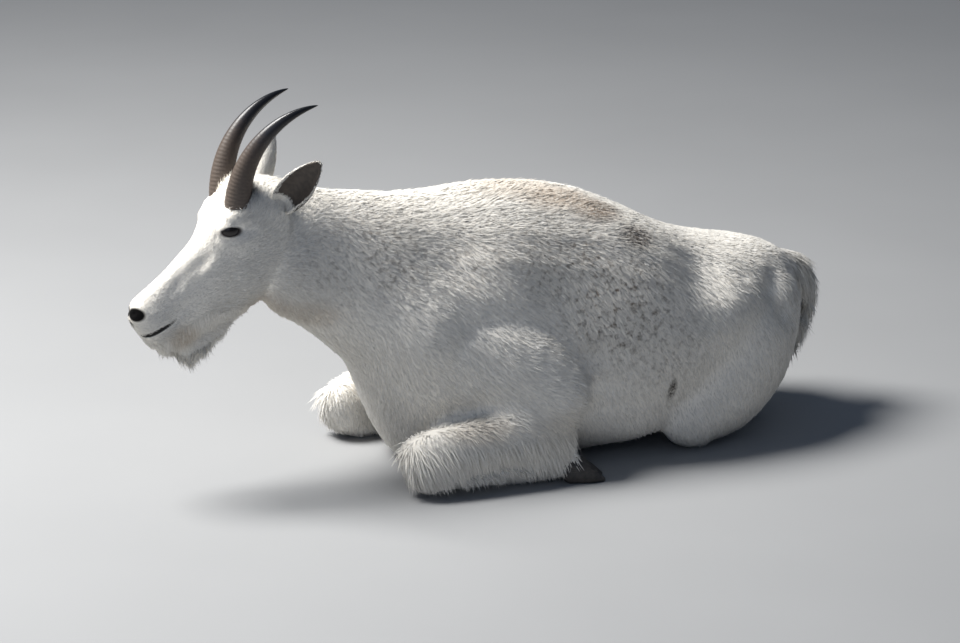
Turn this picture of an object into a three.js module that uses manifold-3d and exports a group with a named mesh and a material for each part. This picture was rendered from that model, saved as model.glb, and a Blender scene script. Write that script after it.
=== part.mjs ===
// A mountain goat lying on its chest with its legs folded, life size, in a short summer coat.
// Millimetres, +Z up. The goat faces -X and its left side is towards -Y.
import * as THREE from "three";
import { mergeVertices } from "three/addons/utils/BufferGeometryUtils.js";
import Module from "manifold-3d";

const wasm = await Module();
wasm.setup();

// Driving sizes of the whole animal
const GAP = 0.3; // air between two touching pieces
const LEFT = -1; // the left side of the goat lies towards -Y
const RIGHT = 1;
const SIDES = { left: LEFT, right: RIGHT };
const CENTRE_X = 9; // middle of the goat's length before it is moved to the origin
const CENTRE_Y = 12; // middle of its width, which the spread right legs pull to one side

const HEAD_PITCH = THREE.MathUtils.degToRad(36); // the head's axis points this far below level
const HEAD_AT = new THREE.Vector3(-400, 0, 430);

const COLOURS = {
  coat: 0xe9e4d8,
  longHair: 0xe3dccb,
  horn: 0x3d3733,
  eye: 0x1a1412,
  hoof: 0x2c2a2a,
};

// Solids and meshes

// The closed solid of a geometry, with its faces turned outwards.
function solidOf(geometry) {
  const bare = geometry.index ? geometry.toNonIndexed() : geometry.clone();
  bare.deleteAttribute("normal");
  bare.deleteAttribute("uv");
  const merged = mergeVertices(bare, 1e-3);
  const corners = new Uint32Array(merged.index.array);
  const mesh = (triVerts) =>
    new wasm.Manifold(
      new wasm.Mesh({ numProp: 3, vertProperties: merged.attributes.position.array, triVerts }),
    );
  const made = mesh(corners);
  if (made.volume() > 0) return made;
  for (let i = 0; i < corners.length; i += 3) {
    [corners[i + 1], corners[i + 2]] = [corners[i + 2], corners[i + 1]];
  }
  return mesh(corners);
}

// The largest closed surface of a solid, so that a scrap left by a cut is dropped.
function largest(solid) {
  return solid.decompose().reduce((a, b) => (a.volume() > b.volume() ? a : b));
}

function join(pieces) {
  return pieces.reduce((a, b) => a.add(b));
}

function cut(solid, ...tools) {
  return largest(tools.reduce((a, b) => a.subtract(b), solid));
}

function meshOf(name, solid, colour, roughness = 0.9) {
  const { numProp, numVert, vertProperties, triVerts } = solid.getMesh();
  const points = new Float32Array(numVert * 3);
  for (let i = 0; i < numVert; i++) {
    points.set(vertProperties.subarray(i * numProp, i * numProp + 3), i * 3);
  }
  const geometry = new THREE.BufferGeometry();
  geometry.setAttribute("position", new THREE.BufferAttribute(points, 3));
  geometry.setIndex(new THREE.BufferAttribute(triVerts, 1));
  geometry.computeVertexNormals();
  const mesh = new THREE.Mesh(geometry, new THREE.MeshStandardMaterial({ color: colour, roughness }));
  mesh.name = name;
  return mesh;
}

// A closed skin over rings of points, with a pole at each end.
function skinOver(rings, firstPole, lastPole) {
  const around = rings[0].length;
  const points = [...rings.flat(), firstPole, lastPole].flatMap((p) => p.toArray());
  const first = rings.length * around;
  const faces = [];
  for (let j = 0; j < around; j++) {
    const k = (j + 1) % around;
    faces.push(first, k, j);
    for (let i = 0; i + 1 < rings.length; i++) {
      const a = i * around + j;
      const b = i * around + k;
      faces.push(a, b, b + around, a, b + around, a + around);
    }
    const end = (rings.length - 1) * around;
    faces.push(first + 1, end + j, end + k);
  }
  const geometry = new THREE.BufferGeometry();
  geometry.setAttribute("position", new THREE.Float32BufferAttribute(points, 3));
  geometry.setIndex(faces);
  return geometry;
}

// The value at t, from 0 to 1, of a smooth curve through evenly spaced values.
function smooth(values, t) {
  const last = values.length - 1;
  const x = Math.min(Math.max(t, 0), 1) * last;
  const i = Math.min(Math.floor(x), last - 1);
  const at = (k) => values[Math.min(Math.max(k, 0), last)];
  return catmull(x - i, at(i - 1), at(i), at(i + 1), at(i + 2));
}

function catmull(t, a, b, c, d) {
  const v0 = (c - a) / 2;
  const v1 = (d - b) / 2;
  return (2 * b - 2 * c + v0 + v1) * t ** 3 + (-3 * b + 3 * c - 2 * v0 - v1) * t ** 2 + v0 * t + b;
}

// Swells: soft bumps or hollows on a surface, each with a centre, a reach and a lift.
function swollen(point, outward, swells) {
  const lift = swells.reduce(
    (sum, s) => sum + s.lift * Math.exp(-point.distanceToSquared(s.at) / (s.reach * s.reach)),
    0,
  );
  return point.addScaledVector(outward, lift);
}

// A body whose sections are given by a top and a bottom point of the side view, a half width,
// the height of the widest place as a share, and how peaked the back and the keel are.
// lean moves the top sideways by that much.
function sideViewLoft(stations, { rings, around, swells = [], grow = 0 }) {
  const column = (name, k) => stations.map((s) => (k === undefined ? s[name] : s[name][k]));
  const read = (name, t, k) => smooth(column(name, k), t);
  const made = [];
  const middles = [];
  for (let i = 0; i < rings; i++) {
    const t = i / (rings - 1);
    const top = new THREE.Vector3(read("top", t, 0), 0, read("top", t, 1));
    const bottom = new THREE.Vector3(read("bottom", t, 0), 0, read("bottom", t, 1));
    const up = top.clone().sub(bottom);
    const height = up.length();
    up.normalize();
    const waist = read("waist", t);
    const middle = bottom.clone().addScaledVector(up, height * waist);
    const half = read("half", t) + grow;
    const ring = [];
    for (let j = 0; j < around; j++) {
      const angle = (2 * Math.PI * j) / around;
      const c = Math.cos(angle);
      const s = Math.sin(angle);
      const power = s > 0 ? read("peak", t) : read("keel", t);
      const rise = s * (height * (s > 0 ? 1 - waist : waist) + grow);
      const aside = half * Math.sign(c) * Math.abs(c) ** power;
      const outward = new THREE.Vector3(0, aside, 0).addScaledVector(up, rise).normalize();
      const point = middle.clone().addScaledVector(up, rise);
      point.y += aside + (read("lean", t) * rise) / height;
      ring.push(swollen(point, outward, swells));
    }
    made.push(ring);
    middles.push(middle);
  }
  return solidOf(skinOver(made, middles[0], middles[rings - 1]));
}

// A limb along a smooth path of joints, each with its half height and half width, round at both ends.
function limb(joints, { rings = 14, around = 16, grow = 0, swells = [] } = {}) {
  const at = (t) => new THREE.Vector3(...[0, 1, 2].map((k) => smooth(joints.map((q) => q.at[k]), t)));
  const size = (name, t) => smooth(joints.map((q) => q[name]), t) + grow;
  const section = (t, share, forward) => {
    const step = 0.01;
    const along = at(Math.min(t + step, 1)).sub(at(Math.max(t - step, 0))).normalize();
    const level = Math.abs(along.z) > 0.9 ? new THREE.Vector3(1, 0, 0) : new THREE.Vector3(0, 0, 1);
    const aside = new THREE.Vector3().crossVectors(along, level).normalize();
    const over = new THREE.Vector3().crossVectors(aside, along);
    const tall = size("tall", t) * share;
    const wide = size("wide", t) * share;
    const middle = at(t).addScaledVector(along, forward * Math.min(size("tall", t), size("wide", t)));
    return Array.from({ length: around }, (_, j) => {
      const angle = (2 * Math.PI * j) / around;
      const outward = new THREE.Vector3()
        .addScaledVector(over, tall * Math.sin(angle))
        .addScaledVector(aside, wide * Math.cos(angle));
      return swollen(middle.clone().add(outward), outward.clone().normalize(), swells);
    });
  };
  const round = [75, 50, 25].map((d) => THREE.MathUtils.degToRad(d));
  const made = [
    ...round.map((a) => section(0, Math.cos(a), -Math.sin(a))),
    ...Array.from({ length: rings }, (_, i) => section(i / (rings - 1), 1, 0)),
    ...round.reverse().map((a) => section(1, Math.cos(a), Math.sin(a))),
  ];
  const centre = (ring) => ring.reduce((sum, p) => sum.add(p), new THREE.Vector3()).divideScalar(around);
  return solidOf(skinOver(made, centre(made[0]), centre(made.at(-1))));
}

// One lock of hair: a flat, tapered blade that bends from its root direction towards hang.
const LOCK_STEPS = [0, 0.34, 0.68];

function lock({ root, along, hang, face, length, width, thick }) {
  const path = (t) =>
    root
      .clone()
      .addScaledVector(along, length * (t - 0.5 * t * t))
      .addScaledVector(hang, length * 0.5 * t * t);
  const rings = LOCK_STEPS.map((t) => {
    const forward = path(t + 0.05).sub(path(t)).normalize();
    const across = new THREE.Vector3().crossVectors(forward, face).normalize();
    const out = new THREE.Vector3().crossVectors(across, forward);
    const w = (width / 2) * (1 - 0.7 * t * t);
    const h = (thick / 2) * (1 - 0.6 * t);
    return [
      path(t).addScaledVector(across, w),
      path(t).addScaledVector(out, h),
      path(t).addScaledVector(across, -w),
      path(t).addScaledVector(out, -h),
    ];
  });
  return solidOf(skinOver(rings, path(0), path(1)));
}

// A seeded draw of numbers from 0 to 1, so that each build is alike.
function draw(seed) {
  let state = seed;
  return () => {
    state = (state * 16807) % 2147483647;
    return state / 2147483647;
  };
}

const vector = (x, y, z) => new THREE.Vector3(x, y, z);
const unit = (x, y, z) => vector(x, y, z).normalize();

// The part of a solid on the side of a plane that its normal points to.
function above(solid, point, normal, keepBack = 0) {
  const n = normal.clone().normalize();
  return solid.trimByPlane(n.toArray(), n.dot(point) + keepBack);
}

const floored = (solid) => above(solid, vector(0, 0, 0), vector(0, 0, 1));

// Trunk: neck and torso, modelled whole
const TRUNK = [
  { top: [-420, 490], bottom: [-424, 400], half: 30, waist: 0.5, peak: 1, keel: 1, lean: 0 },
  { top: [-396, 514], bottom: [-412, 348], half: 42, waist: 0.52, peak: 1, keel: 1, lean: 0 },
  { top: [-352, 517], bottom: [-384, 301], half: 58, waist: 0.52, peak: 1, keel: 1, lean: 0 },
  { top: [-296, 503], bottom: [-336, 270], half: 78, waist: 0.5, peak: 1.05, keel: 0.95, lean: 0 },
  { top: [-236, 493], bottom: [-284, 224], half: 98, waist: 0.46, peak: 1.1, keel: 0.9, lean: 0 },
  { top: [-174, 483], bottom: [-238, 174], half: 122, waist: 0.44, peak: 1.15, keel: 0.85, lean: 0 },
  { top: [-110, 480], bottom: [-204, 98], half: 145, waist: 0.42, peak: 1.2, keel: 0.8, lean: 0 },
  { top: [-46, 484], bottom: [-156, 14], half: 160, waist: 0.4, peak: 1.2, keel: 0.8, lean: -4 },
  { top: [20, 483], bottom: [-66, -6], half: 172, waist: 0.4, peak: 1.15, keel: 0.8, lean: -10 },
  { top: [88, 476], bottom: [40, -6], half: 184, waist: 0.38, peak: 1.1, keel: 0.72, lean: -16 },
  { top: [158, 461], bottom: [140, -5], half: 195, waist: 0.38, peak: 1.05, keel: 0.66, lean: -24 },
  { top: [226, 433], bottom: [222, 4], half: 202, waist: 0.38, peak: 1, keel: 0.66, lean: -34 },
  { top: [296, 396], bottom: [298, 24], half: 202, waist: 0.4, peak: 0.95, keel: 0.7, lean: -40 },
  { top: [366, 364], bottom: [368, 48], half: 188, waist: 0.44, peak: 0.9, keel: 0.8, lean: -36 },
  { top: [436, 343], bottom: [436, 70], half: 168, waist: 0.48, peak: 0.85, keel: 0.95, lean: -26 },
  { top: [506, 328], bottom: [504, 88], half: 140, waist: 0.5, peak: 0.85, keel: 1, lean: -14 },
  { top: [564, 306], bottom: [564, 110], half: 102, waist: 0.52, peak: 0.9, keel: 1, lean: -6 },
  { top: [600, 268], bottom: [600, 148], half: 54, waist: 0.5, peak: 1, keel: 1, lean: 0 },
];
const TRUNK_SWELLS = [
  ...[LEFT, RIGHT].flatMap((side) => [
    { at: vector(-50, side * 120, 330), reach: 90, lift: 9 }, // shoulder blade
    { at: vector(-150, side * 118, 290), reach: 55, lift: 10 }, // front of the shoulder
    { at: vector(90, side * 175, 290), reach: 75, lift: -12 }, // hollow behind the shoulder
    { at: vector(340, side * 165, 300), reach: 60, lift: -12 }, // hollow of the flank
    { at: vector(450, side * 125, 270), reach: 42, lift: 10 }, // hip bone
    { at: vector(520, side * 84, 262), reach: 30, lift: -14 }, // hollow over the thigh
    { at: vector(570, side * 60, 236), reach: 34, lift: -20 }, // hollow beside the tail
  ]),
];
const TRUNK_MESH = { rings: 38, around: 28, swells: TRUNK_SWELLS };
const trunkAt = (grow) => sideViewLoft(TRUNK, { ...TRUNK_MESH, grow });

// Head, in its own frame: forward is -X there, and up is +Z out of the brow
const headStation = (s, top, bottom, half, waist, peak, keel) => ({
  top: [-s, top], bottom: [-s, bottom], half, waist, peak, keel, lean: 0,
});
const HEAD = [
  headStation(-96, 34, -40, 30, 0.55, 1, 1),
  headStation(-78, 62, -66, 52, 0.58, 0.9, 1),
  headStation(-56, 86, -80, 62, 0.62, 0.85, 1),
  headStation(-32, 104, -86, 64, 0.64, 0.8, 0.85),
  headStation(-8, 108, -88, 62, 0.66, 0.75, 0.85),
  headStation(16, 102, -88, 60, 0.68, 0.72, 0.9),
  headStation(40, 92, -87, 57, 0.7, 0.7, 1.1),
  headStation(66, 83, -85, 51, 0.62, 0.8, 1.05),
  headStation(92, 77, -80, 45, 0.56, 0.85, 1),
  headStation(118, 73, -74, 40, 0.52, 0.85, 1),
  headStation(144, 70, -67, 35, 0.5, 0.82, 1),
  headStation(168, 68, -59, 31, 0.5, 0.8, 0.95),
  headStation(192, 67, -50, 29, 0.5, 0.8, 0.9),
  headStation(214, 67, -42, 29, 0.5, 0.8, 0.85),
  headStation(234, 65, -36, 28, 0.5, 0.85, 0.85),
  headStation(248, 56, -29, 24, 0.5, 0.9, 0.9),
  headStation(258, 44, -17, 15, 0.5, 1, 1),
];
const HEAD_MESH = { rings: 33, around: 24 };
const EYE = { s: 44, y: 43, n: 68, radius: 15, lid: 2.6, halfLength: 13.5, halfHeight: 7, tilt: 33 };
const inHead = (s, y, n) => vector(-s, y, n);
const HEAD_SWELLS = [LEFT, RIGHT].flatMap((side) => [
  { at: inHead(44, side * 54, 70), reach: 32, lift: 12 }, // orbit
  { at: inHead(36, side * 46, 88), reach: 20, lift: 5 }, // brow
  { at: inHead(-10, side * 32, 104), reach: 26, lift: 6 }, // root of the horn
  { at: inHead(92, side * 42, 30), reach: 22, lift: 4 }, // facial crest
  { at: inHead(96, side * 30, 66), reach: 18, lift: -3 }, // hollow in front of the eye
  { at: inHead(150, side * 28, 48), reach: 20, lift: -3 }, // hollow over the lip
  { at: inHead(60, side * 40, -25), reach: 42, lift: 8 }, // cheek
  { at: inHead(226, side * 24, 26), reach: 20, lift: 4 }, // upper lip
  { at: inHead(238, side * 20, 48), reach: 12, lift: 4 }, // wing of the nostril
  { at: inHead(200, side * 20, -4), reach: 12, lift: -3 }, // corner of the mouth
]);
const headLoft = (grow) =>
  sideViewLoft(HEAD, { ...HEAD_MESH, swells: HEAD_SWELLS, grow });

const headMatrix = new THREE.Matrix4()
  .makeRotationY(-HEAD_PITCH)
  .setPosition(HEAD_AT);
const toWorld = (solid) => solid.transform(headMatrix.toArray());
const headPoint = (s, y, n) => inHead(s, y, n).applyMatrix4(headMatrix);
const headDirection = (s, y, n) => inHead(s, y, n).transformDirection(headMatrix);

const ball = (radius, across = 14, down = 9) =>
  solidOf(new THREE.SphereGeometry(radius, across, down));
const placed = (solid, p) => solid.translate(p.toArray());

// The gap between the lids: an almond that runs straight through the lid.
function lidOpening(side) {
  const steps = 16;
  const outline = Array.from({ length: steps }, (_, i) => {
    const a = (2 * Math.PI * i) / steps;
    const high = Math.sin(a) * (1 - 0.35 * Math.cos(a) ** 2);
    return new THREE.Vector2(EYE.halfLength * Math.cos(a), EYE.halfHeight * high);
  });
  const almond = new THREE.ExtrudeGeometry(new THREE.Shape(outline), {
    depth: 30,
    bevelEnabled: false,
  })
    .rotateX(Math.PI / 2)
    .rotateY(THREE.MathUtils.degToRad(EYE.tilt))
    .translate(0, side > 0 ? 36 : -6, 0);
  return placed(solidOf(almond), inHead(EYE.s, side * EYE.y, EYE.n));
}

// The line of the mouth: a thin slot that runs round the muzzle and stops at a solid core.
function mouthLine() {
  const depth = 6;
  const halfOpening = 1.3;
  const lipLine = [[272, 15], [258, 13], [240, 7], [222, 5], [206, 1]];
  const shape = new THREE.Shape([
    ...lipLine.map(([s, n]) => new THREE.Vector2(-s, n + halfOpening)),
    ...lipLine.toReversed().map(([s, n]) => new THREE.Vector2(-s, n - halfOpening)),
  ]);
  const slab = new THREE.ExtrudeGeometry(shape, { depth: 120, bevelEnabled: false })
    .translate(0, 0, -60)
    .rotateX(Math.PI / 2);
  return solidOf(slab).subtract(headLoft(-depth));
}

function nostril(side) {
  const pit = new THREE.SphereGeometry(1, 14, 10)
    .scale(8.5, 7, 4.5)
    .rotateY(THREE.MathUtils.degToRad(28))
    .rotateZ(side * THREE.MathUtils.degToRad(24));
  return placed(solidOf(pit), inHead(244, side * 19, 49));
}

function headWhole() {
  const centres = [LEFT, RIGHT].map((side) => inHead(EYE.s, side * EYE.y, EYE.n));
  const lids = centres.map((at) => placed(ball(EYE.radius + EYE.lid), at));
  const sockets = centres.map((at) => placed(ball(EYE.radius + GAP), at));
  const openings = [LEFT, RIGHT].flatMap((side) => [lidOpening(side), nostril(side)]);
  const shaped = join([headLoft(0), ...lids]);
  return toWorld(largest(shaped.subtract(join([...sockets, ...openings, mouthLine()]))));
}

// Horns: two evenly curved, ringed cones that sweep up and back
const HORN = { length: 212, along: 47, across: 40, start: 92, end: 9, splay: 0.13, sunk: 16 };
const HORN_ROOT = headPoint(-8, 0, 98);
const HORN_APART = 36;

function horn(side, grow = 0) {
  const rings = 22;
  const around = 10;
  const made = [];
  const at = HORN_ROOT.clone();
  at.y = side * HORN_APART;
  let last;
  for (let i = 0; i < rings; i++) {
    const t = i / rings;
    const angle = THREE.MathUtils.degToRad(HORN.start + (HORN.end - HORN.start) * t);
    const forward = unit(Math.cos(angle), side * HORN.splay, Math.sin(angle));
    if (i === 0) at.addScaledVector(forward, -HORN.sunk);
    const aside = vector(0, 1, 0);
    const over = new THREE.Vector3().crossVectors(aside, forward).normalize();
    const taper = (1 - t) ** 0.62 * (1 - 0.1 * t);
    const ringed = t < 0.5 && i % 2 ? 1.035 : 1;
    made.push(
      Array.from({ length: around }, (_, j) => {
        const a = (2 * Math.PI * j) / around;
        return at
          .clone()
          .addScaledVector(over, ((HORN.along / 2) * taper * ringed + grow) * Math.cos(a))
          .addScaledVector(aside, ((HORN.across / 2) * taper * ringed + grow) * Math.sin(a));
      }),
    );
    at.addScaledVector(forward, (HORN.length + HORN.sunk) / rings);
    last = at.clone();
  }
  const base = made[0].reduce((sum, p) => sum.add(p), vector(0, 0, 0)).divideScalar(around);
  return solidOf(skinOver(made, base, last));
}

// Ears: cupped leaves on a short stalk
const EAR = { length: 130, half: 26, cup: 20, thick: 4.2 };

function ear(side, { tip, turn }, grow = 0) {
  const root = headPoint(-52, side * 60, 46);
  const along = tip.clone().sub(root).normalize();
  const facing = vector(-0.62, side * 0.78, -0.1);
  facing.addScaledVector(along, -facing.dot(along)).normalize();
  facing.applyAxisAngle(along, turn);
  const across = new THREE.Vector3().crossVectors(along, facing).normalize();
  const rings = 11;
  const half = 7;
  const made = [];
  for (let i = 0; i < rings; i++) {
    const t = i / (rings - 1);
    const leaf = Math.sin(Math.PI * Math.min(0.16 + 0.82 * t, 0.985)) ** 0.75;
    const w = EAR.half * leaf * (1 - 0.12 * t) + grow;
    const cup = EAR.cup * (1 - 0.75 * t) * leaf + 1;
    const centre = root.clone().addScaledVector(along, EAR.length * t - 6);
    const outer = [];
    const inner = [];
    for (let j = 0; j < half; j++) {
      const u = (2 * j) / (half - 1) - 1;
      const thick = EAR.thick * (1 - 0.55 * u * u) * (1 - 0.3 * t) + (t < 0.12 ? 6 : 0) + grow;
      const depth = cup * (u * u - 0.6);
      outer.push(centre.clone().addScaledVector(across, w * u).addScaledVector(facing, depth - thick));
      inner.push(centre.clone().addScaledVector(across, w * 0.94 * u).addScaledVector(facing, depth));
    }
    made.push([...outer, ...inner.reverse()]);
  }
  const mean = (ring) => ring.reduce((sum, p) => sum.add(p), vector(0, 0, 0)).divideScalar(ring.length);
  const end = mean(made.at(-1)).addScaledVector(along, 4);
  return solidOf(skinOver(made, mean(made[0]), end));
}
const EAR_POSES = {
  left: { tip: vector(-350, -150, 590), turn: 0 },
  right: { tip: vector(-323, 136, 561), turn: -0.6 },
};

// Beard: a thin core with overlapping locks, from the chin back along the jaw
const BEARD = { rows: 7, from: 220, to: 128, long: 60, short: 32, seed: 11 };

function beard() {
  const next = draw(BEARD.seed);
  const core = limb(
    [
      { at: headPoint(222, 0, -38).toArray(), tall: 14, wide: 9 },
      { at: headPoint(204, 0, -50).toArray(), tall: 18, wide: 12 },
      { at: headPoint(172, 0, -60).toArray(), tall: 16, wide: 14 },
      { at: headPoint(132, 0, -66).toArray(), tall: 12, wide: 16 },
    ],
    { rings: 6, around: 10 },
  );
  const locks = [];
  for (let i = 0; i < BEARD.rows; i++) {
    const t = i / (BEARD.rows - 1);
    const s = BEARD.from + (BEARD.to - BEARD.from) * t;
    for (const side of i === 0 ? [0] : [LEFT, RIGHT]) {
      locks.push(
        lock({
          root: headPoint(s, side * (4 + 6 * t), -32 - 20 * t),
          along: headDirection(-0.1 - 0.3 * t, 0.1 * side, -1),
          hang: unit(0.45 + 0.25 * next(), 0.05 * side, -1),
          face: unit(0.1, side || 0.2, 0),
          length: (BEARD.long + (BEARD.short - BEARD.long) * t) * (0.92 + 0.16 * next()),
          width: 30 - 4 * t,
          thick: 11,
        }),
      );
    }
  }
  return join([core, ...locks]);
}

// Tail
const TAIL = [
  { at: [566, 0, 270], tall: 30, wide: 40 },
  { at: [608, 0, 258], tall: 30, wide: 38 },
  { at: [632, -2, 214], tall: 21, wide: 33 },
  { at: [630, -4, 164], tall: 15, wide: 25 },
  { at: [616, -4, 128], tall: 8, wide: 14 },
];

const TAIL_LOCKS = { rows: 3, apart: 40, length: 66, seed: 5 };

function tail() {
  const next = draw(TAIL_LOCKS.seed);
  const body = limb(TAIL, { rings: 9, around: 12 });
  const locks = [];
  for (let row = 0; row < TAIL_LOCKS.rows; row++) {
    for (const across of row === 2 ? [-0.5, 0.5] : [-1, 0, 1]) {
      locks.push(
        lock({
          root: vector(626 - 8 * row, across * (19 - 4 * row) - 3, 214 - TAIL_LOCKS.apart * row),
          along: unit(0.3 - 0.3 * row, 0.22 * across, -1),
          hang: unit(-0.3, 0.02 * across, -1),
          face: unit(1, 0.5 * across, 0.2),
          length: TAIL_LOCKS.length * (0.85 + 0.2 * next()),
          width: 34,
          thick: 12,
        }),
      );
    }
  }
  return join([body, ...locks]);
}

// Forelegs: upper arm, forearm with its skirt of long hair, and the folded cannon
function upperArm(name, grow = 0) {
  const side = SIDES[name];
  return limb(
    [
      { at: [-138, side * 96, 236], tall: 66, wide: 44 },
      { at: [-66, side * 130, 206], tall: 90, wide: 52 },
      { at: [6, side * 154, 168], tall: 96, wide: 56 },
      { at: [62, side * 164, 130], tall: 84, wide: 56 },
    ],
    { rings: 9, around: 16, grow },
  );
}

function forearm(name, grow = 0) {
  const side = SIDES[name];
  return limb(
    [
      { at: [56, side * 184, 96], tall: 44, wide: 38 },
      { at: [-20, side * 188, 88], tall: 48, wide: 38 },
      { at: [-104, side * 182, 80], tall: 48, wide: 37 },
      { at: [-150, side * 174, 68], tall: 52, wide: 40 },
      { at: [-180, side * 168, 54], tall: 56, wide: 42 },
    ],
    { rings: 9, around: 14, grow },
  );
}

function cannonFore(name, grow = 0) {
  const side = SIDES[name];
  return limb(
    [
      { at: [-160, side * 158, 21], tall: 24, wide: 22 },
      { at: [-74, side * 166, 19], tall: 20, wide: 20 },
      { at: [0, side * 182, 22], tall: 24, wide: 22 },
      { at: [44, side * 194, 25], tall: 21, wide: 20 },
    ],
    { rings: 6, around: 10, grow },
  );
}

// The skirt of long hair that hangs from the outer side of a forearm and round its knee.
const SKIRT = { count: 9, knee: -176, elbow: 54, seed: { left: 21, right: 34 } };

function forearmSkirt(name) {
  const side = SIDES[name];
  const next = draw(SKIRT.seed[name]);
  const locks = [];
  for (let i = 0; i < SKIRT.count; i++) {
    const t = i / (SKIRT.count - 1);
    const x = SKIRT.elbow + (SKIRT.knee - SKIRT.elbow) * t;
    const z = 84 + 8 * next() - 8 * t;
    locks.push(
      lock({
        root: vector(x, side * (198 - 8 * t), z),
        along: unit(0.4, side * 0.85, -0.9),
        hang: unit(0.4 + 0.2 * next(), -side * 0.2, -1),
        face: vector(0, side, 0.2),
        length: (z - 2) * (1.02 + 0.04 * next()),
        width: 46,
        thick: 15,
      }),
    );
  }
  return join(locks);
}

// Hind legs. The left one is tucked under the belly, the right one lies beside it.
const THIGH = {
  left: [
    { at: [496, -66, 222], tall: 80, wide: 84 },
    { at: [458, -96, 158], tall: 100, wide: 86 },
    { at: [402, -116, 96], tall: 92, wide: 74 },
    { at: [340, -128, 56], tall: 62, wide: 58 },
  ],
  right: [
    { at: [496, 66, 222], tall: 80, wide: 84 },
    { at: [456, 100, 172], tall: 94, wide: 80 },
    { at: [404, 130, 128], tall: 84, wide: 66 },
    { at: [352, 154, 92], tall: 62, wide: 50 },
  ],
};
const SHANK = {
  left: [
    { at: [360, -92, 44], tall: 40, wide: 40 },
    { at: [450, -56, 40], tall: 34, wide: 34 },
    { at: [520, -22, 38], tall: 27, wide: 26 },
  ],
  right: [
    { at: [370, 180, 76], tall: 42, wide: 34 },
    { at: [462, 180, 64], tall: 36, wide: 30 },
    { at: [560, 166, 44], tall: 27, wide: 21 },
  ],
};
const CANNON = {
  left: [
    { at: [512, 6, 20], tall: 22, wide: 20 },
    { at: [450, 62, 21], tall: 19, wide: 17 },
    { at: [396, 112, 23], tall: 22, wide: 20 },
    { at: [366, 140, 25], tall: 20, wide: 19 },
  ],
  right: [
    { at: [556, 190, 21], tall: 23, wide: 19 },
    { at: [484, 206, 21], tall: 19, wide: 17 },
    { at: [420, 216, 23], tall: 22, wide: 20 },
    { at: [384, 222, 25], tall: 20, wide: 19 },
  ],
};
const thigh = (name, grow = 0) => limb(THIGH[name], { rings: 9, around: 18, grow });
const shank = (name, grow = 0) => limb(SHANK[name], { rings: 6, around: 12, grow });
const cannonHind = (name, grow = 0) => limb(CANNON[name], { rings: 6, around: 10, grow });

// Feet: each has two claws with flat soles on the floor
const HOOF = { length: 74, height: 44, width: 27, apart: 14.5 };
const FEET = {
  fore_left: { at: vector(82, -204, 0), heading: -0.3 },
  fore_right: { at: vector(82, 204, 0), heading: 0.3 },
  hind_left: { at: vector(334, 168, 0), heading: 2.35 },
  hind_right: { at: vector(346, 230, 0), heading: 2.95 },
};

// One claw, with its toe towards +X before it is turned to its heading.
function claw(foot, half, grow = 0) {
  const w = HOOF.width / 2;
  const station = (x, top, low, wide) => ({
    top: [x, top], bottom: [x, low], half: wide, waist: 0.38, peak: 0.9, keel: 0.55, lean: 0,
  });
  const stations = [
    station(-24, 36, 5, 7),
    station(-14, HOOF.height, -2, w),
    station(8, 40, -2, w),
    station(30, 24, -2, w * 0.85),
    station(HOOF.length - 26, 7, -1, 4),
  ];
  const placing = new THREE.Matrix4().makeRotationZ(foot.heading).setPosition(foot.at);
  const offset = new THREE.Matrix4().makeTranslation(0, half * HOOF.apart, 0);
  return sideViewLoft(stations, { rings: 5, around: 8, grow }).transform(
    placing.multiply(offset).toArray(),
  );
}

// Putting it together
const group = new THREE.Group();
const place = (name, solid, colour, roughness) =>
  group.add(meshOf(name, solid, colour, roughness));

const trunk = floored(trunkAt(0));
const trunkTool = trunkAt(GAP);
const horns = { left: horn(LEFT), right: horn(RIGHT) };
const hornTools = [horn(LEFT, GAP), horn(RIGHT, GAP)];
const headBody = cut(headWhole(), ...hornTools);

// The head meets the neck, and the neck the torso, at thin plane cuts
const NAPE = { at: vector(-376, 0, 420), normal: unit(-0.9, 0, 0.14) };
const WITHERS = { at: vector(-160, 0, 300), normal: unit(-0.94, 0, 0.24) };
const flesh = headBody.add(trunk);
const head = largest(cut(above(flesh, NAPE.at, NAPE.normal, GAP / 2), ...hornTools));
const behindHead = above(trunk, NAPE.at, NAPE.normal.clone().negate(), GAP / 2);
const neck = largest(above(behindHead, WITHERS.at, WITHERS.normal, GAP / 2));
const torso = largest(above(trunk, WITHERS.at, WITHERS.normal.clone().negate(), GAP / 2));

place("head", head, COLOURS.coat);
place("neck", neck, COLOURS.coat);

const headTool = toWorld(headLoft(GAP));
for (const [name, side] of Object.entries(SIDES)) {
  place(`horn_${name}`, horns[name], COLOURS.horn, 0.5);
  place(
    `eye_${name}`,
    toWorld(placed(ball(EYE.radius), inHead(EYE.s, side * EYE.y, EYE.n))),
    COLOURS.eye,
    0.1,
  );
  place(`ear_${name}`, cut(ear(side, EAR_POSES[name]), headTool, trunkTool), COLOURS.coat);
}
place("beard", cut(beard(), headTool, trunkTool), COLOURS.longHair);

place("tail", cut(tail(), trunkTool), COLOURS.longHair);

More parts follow.
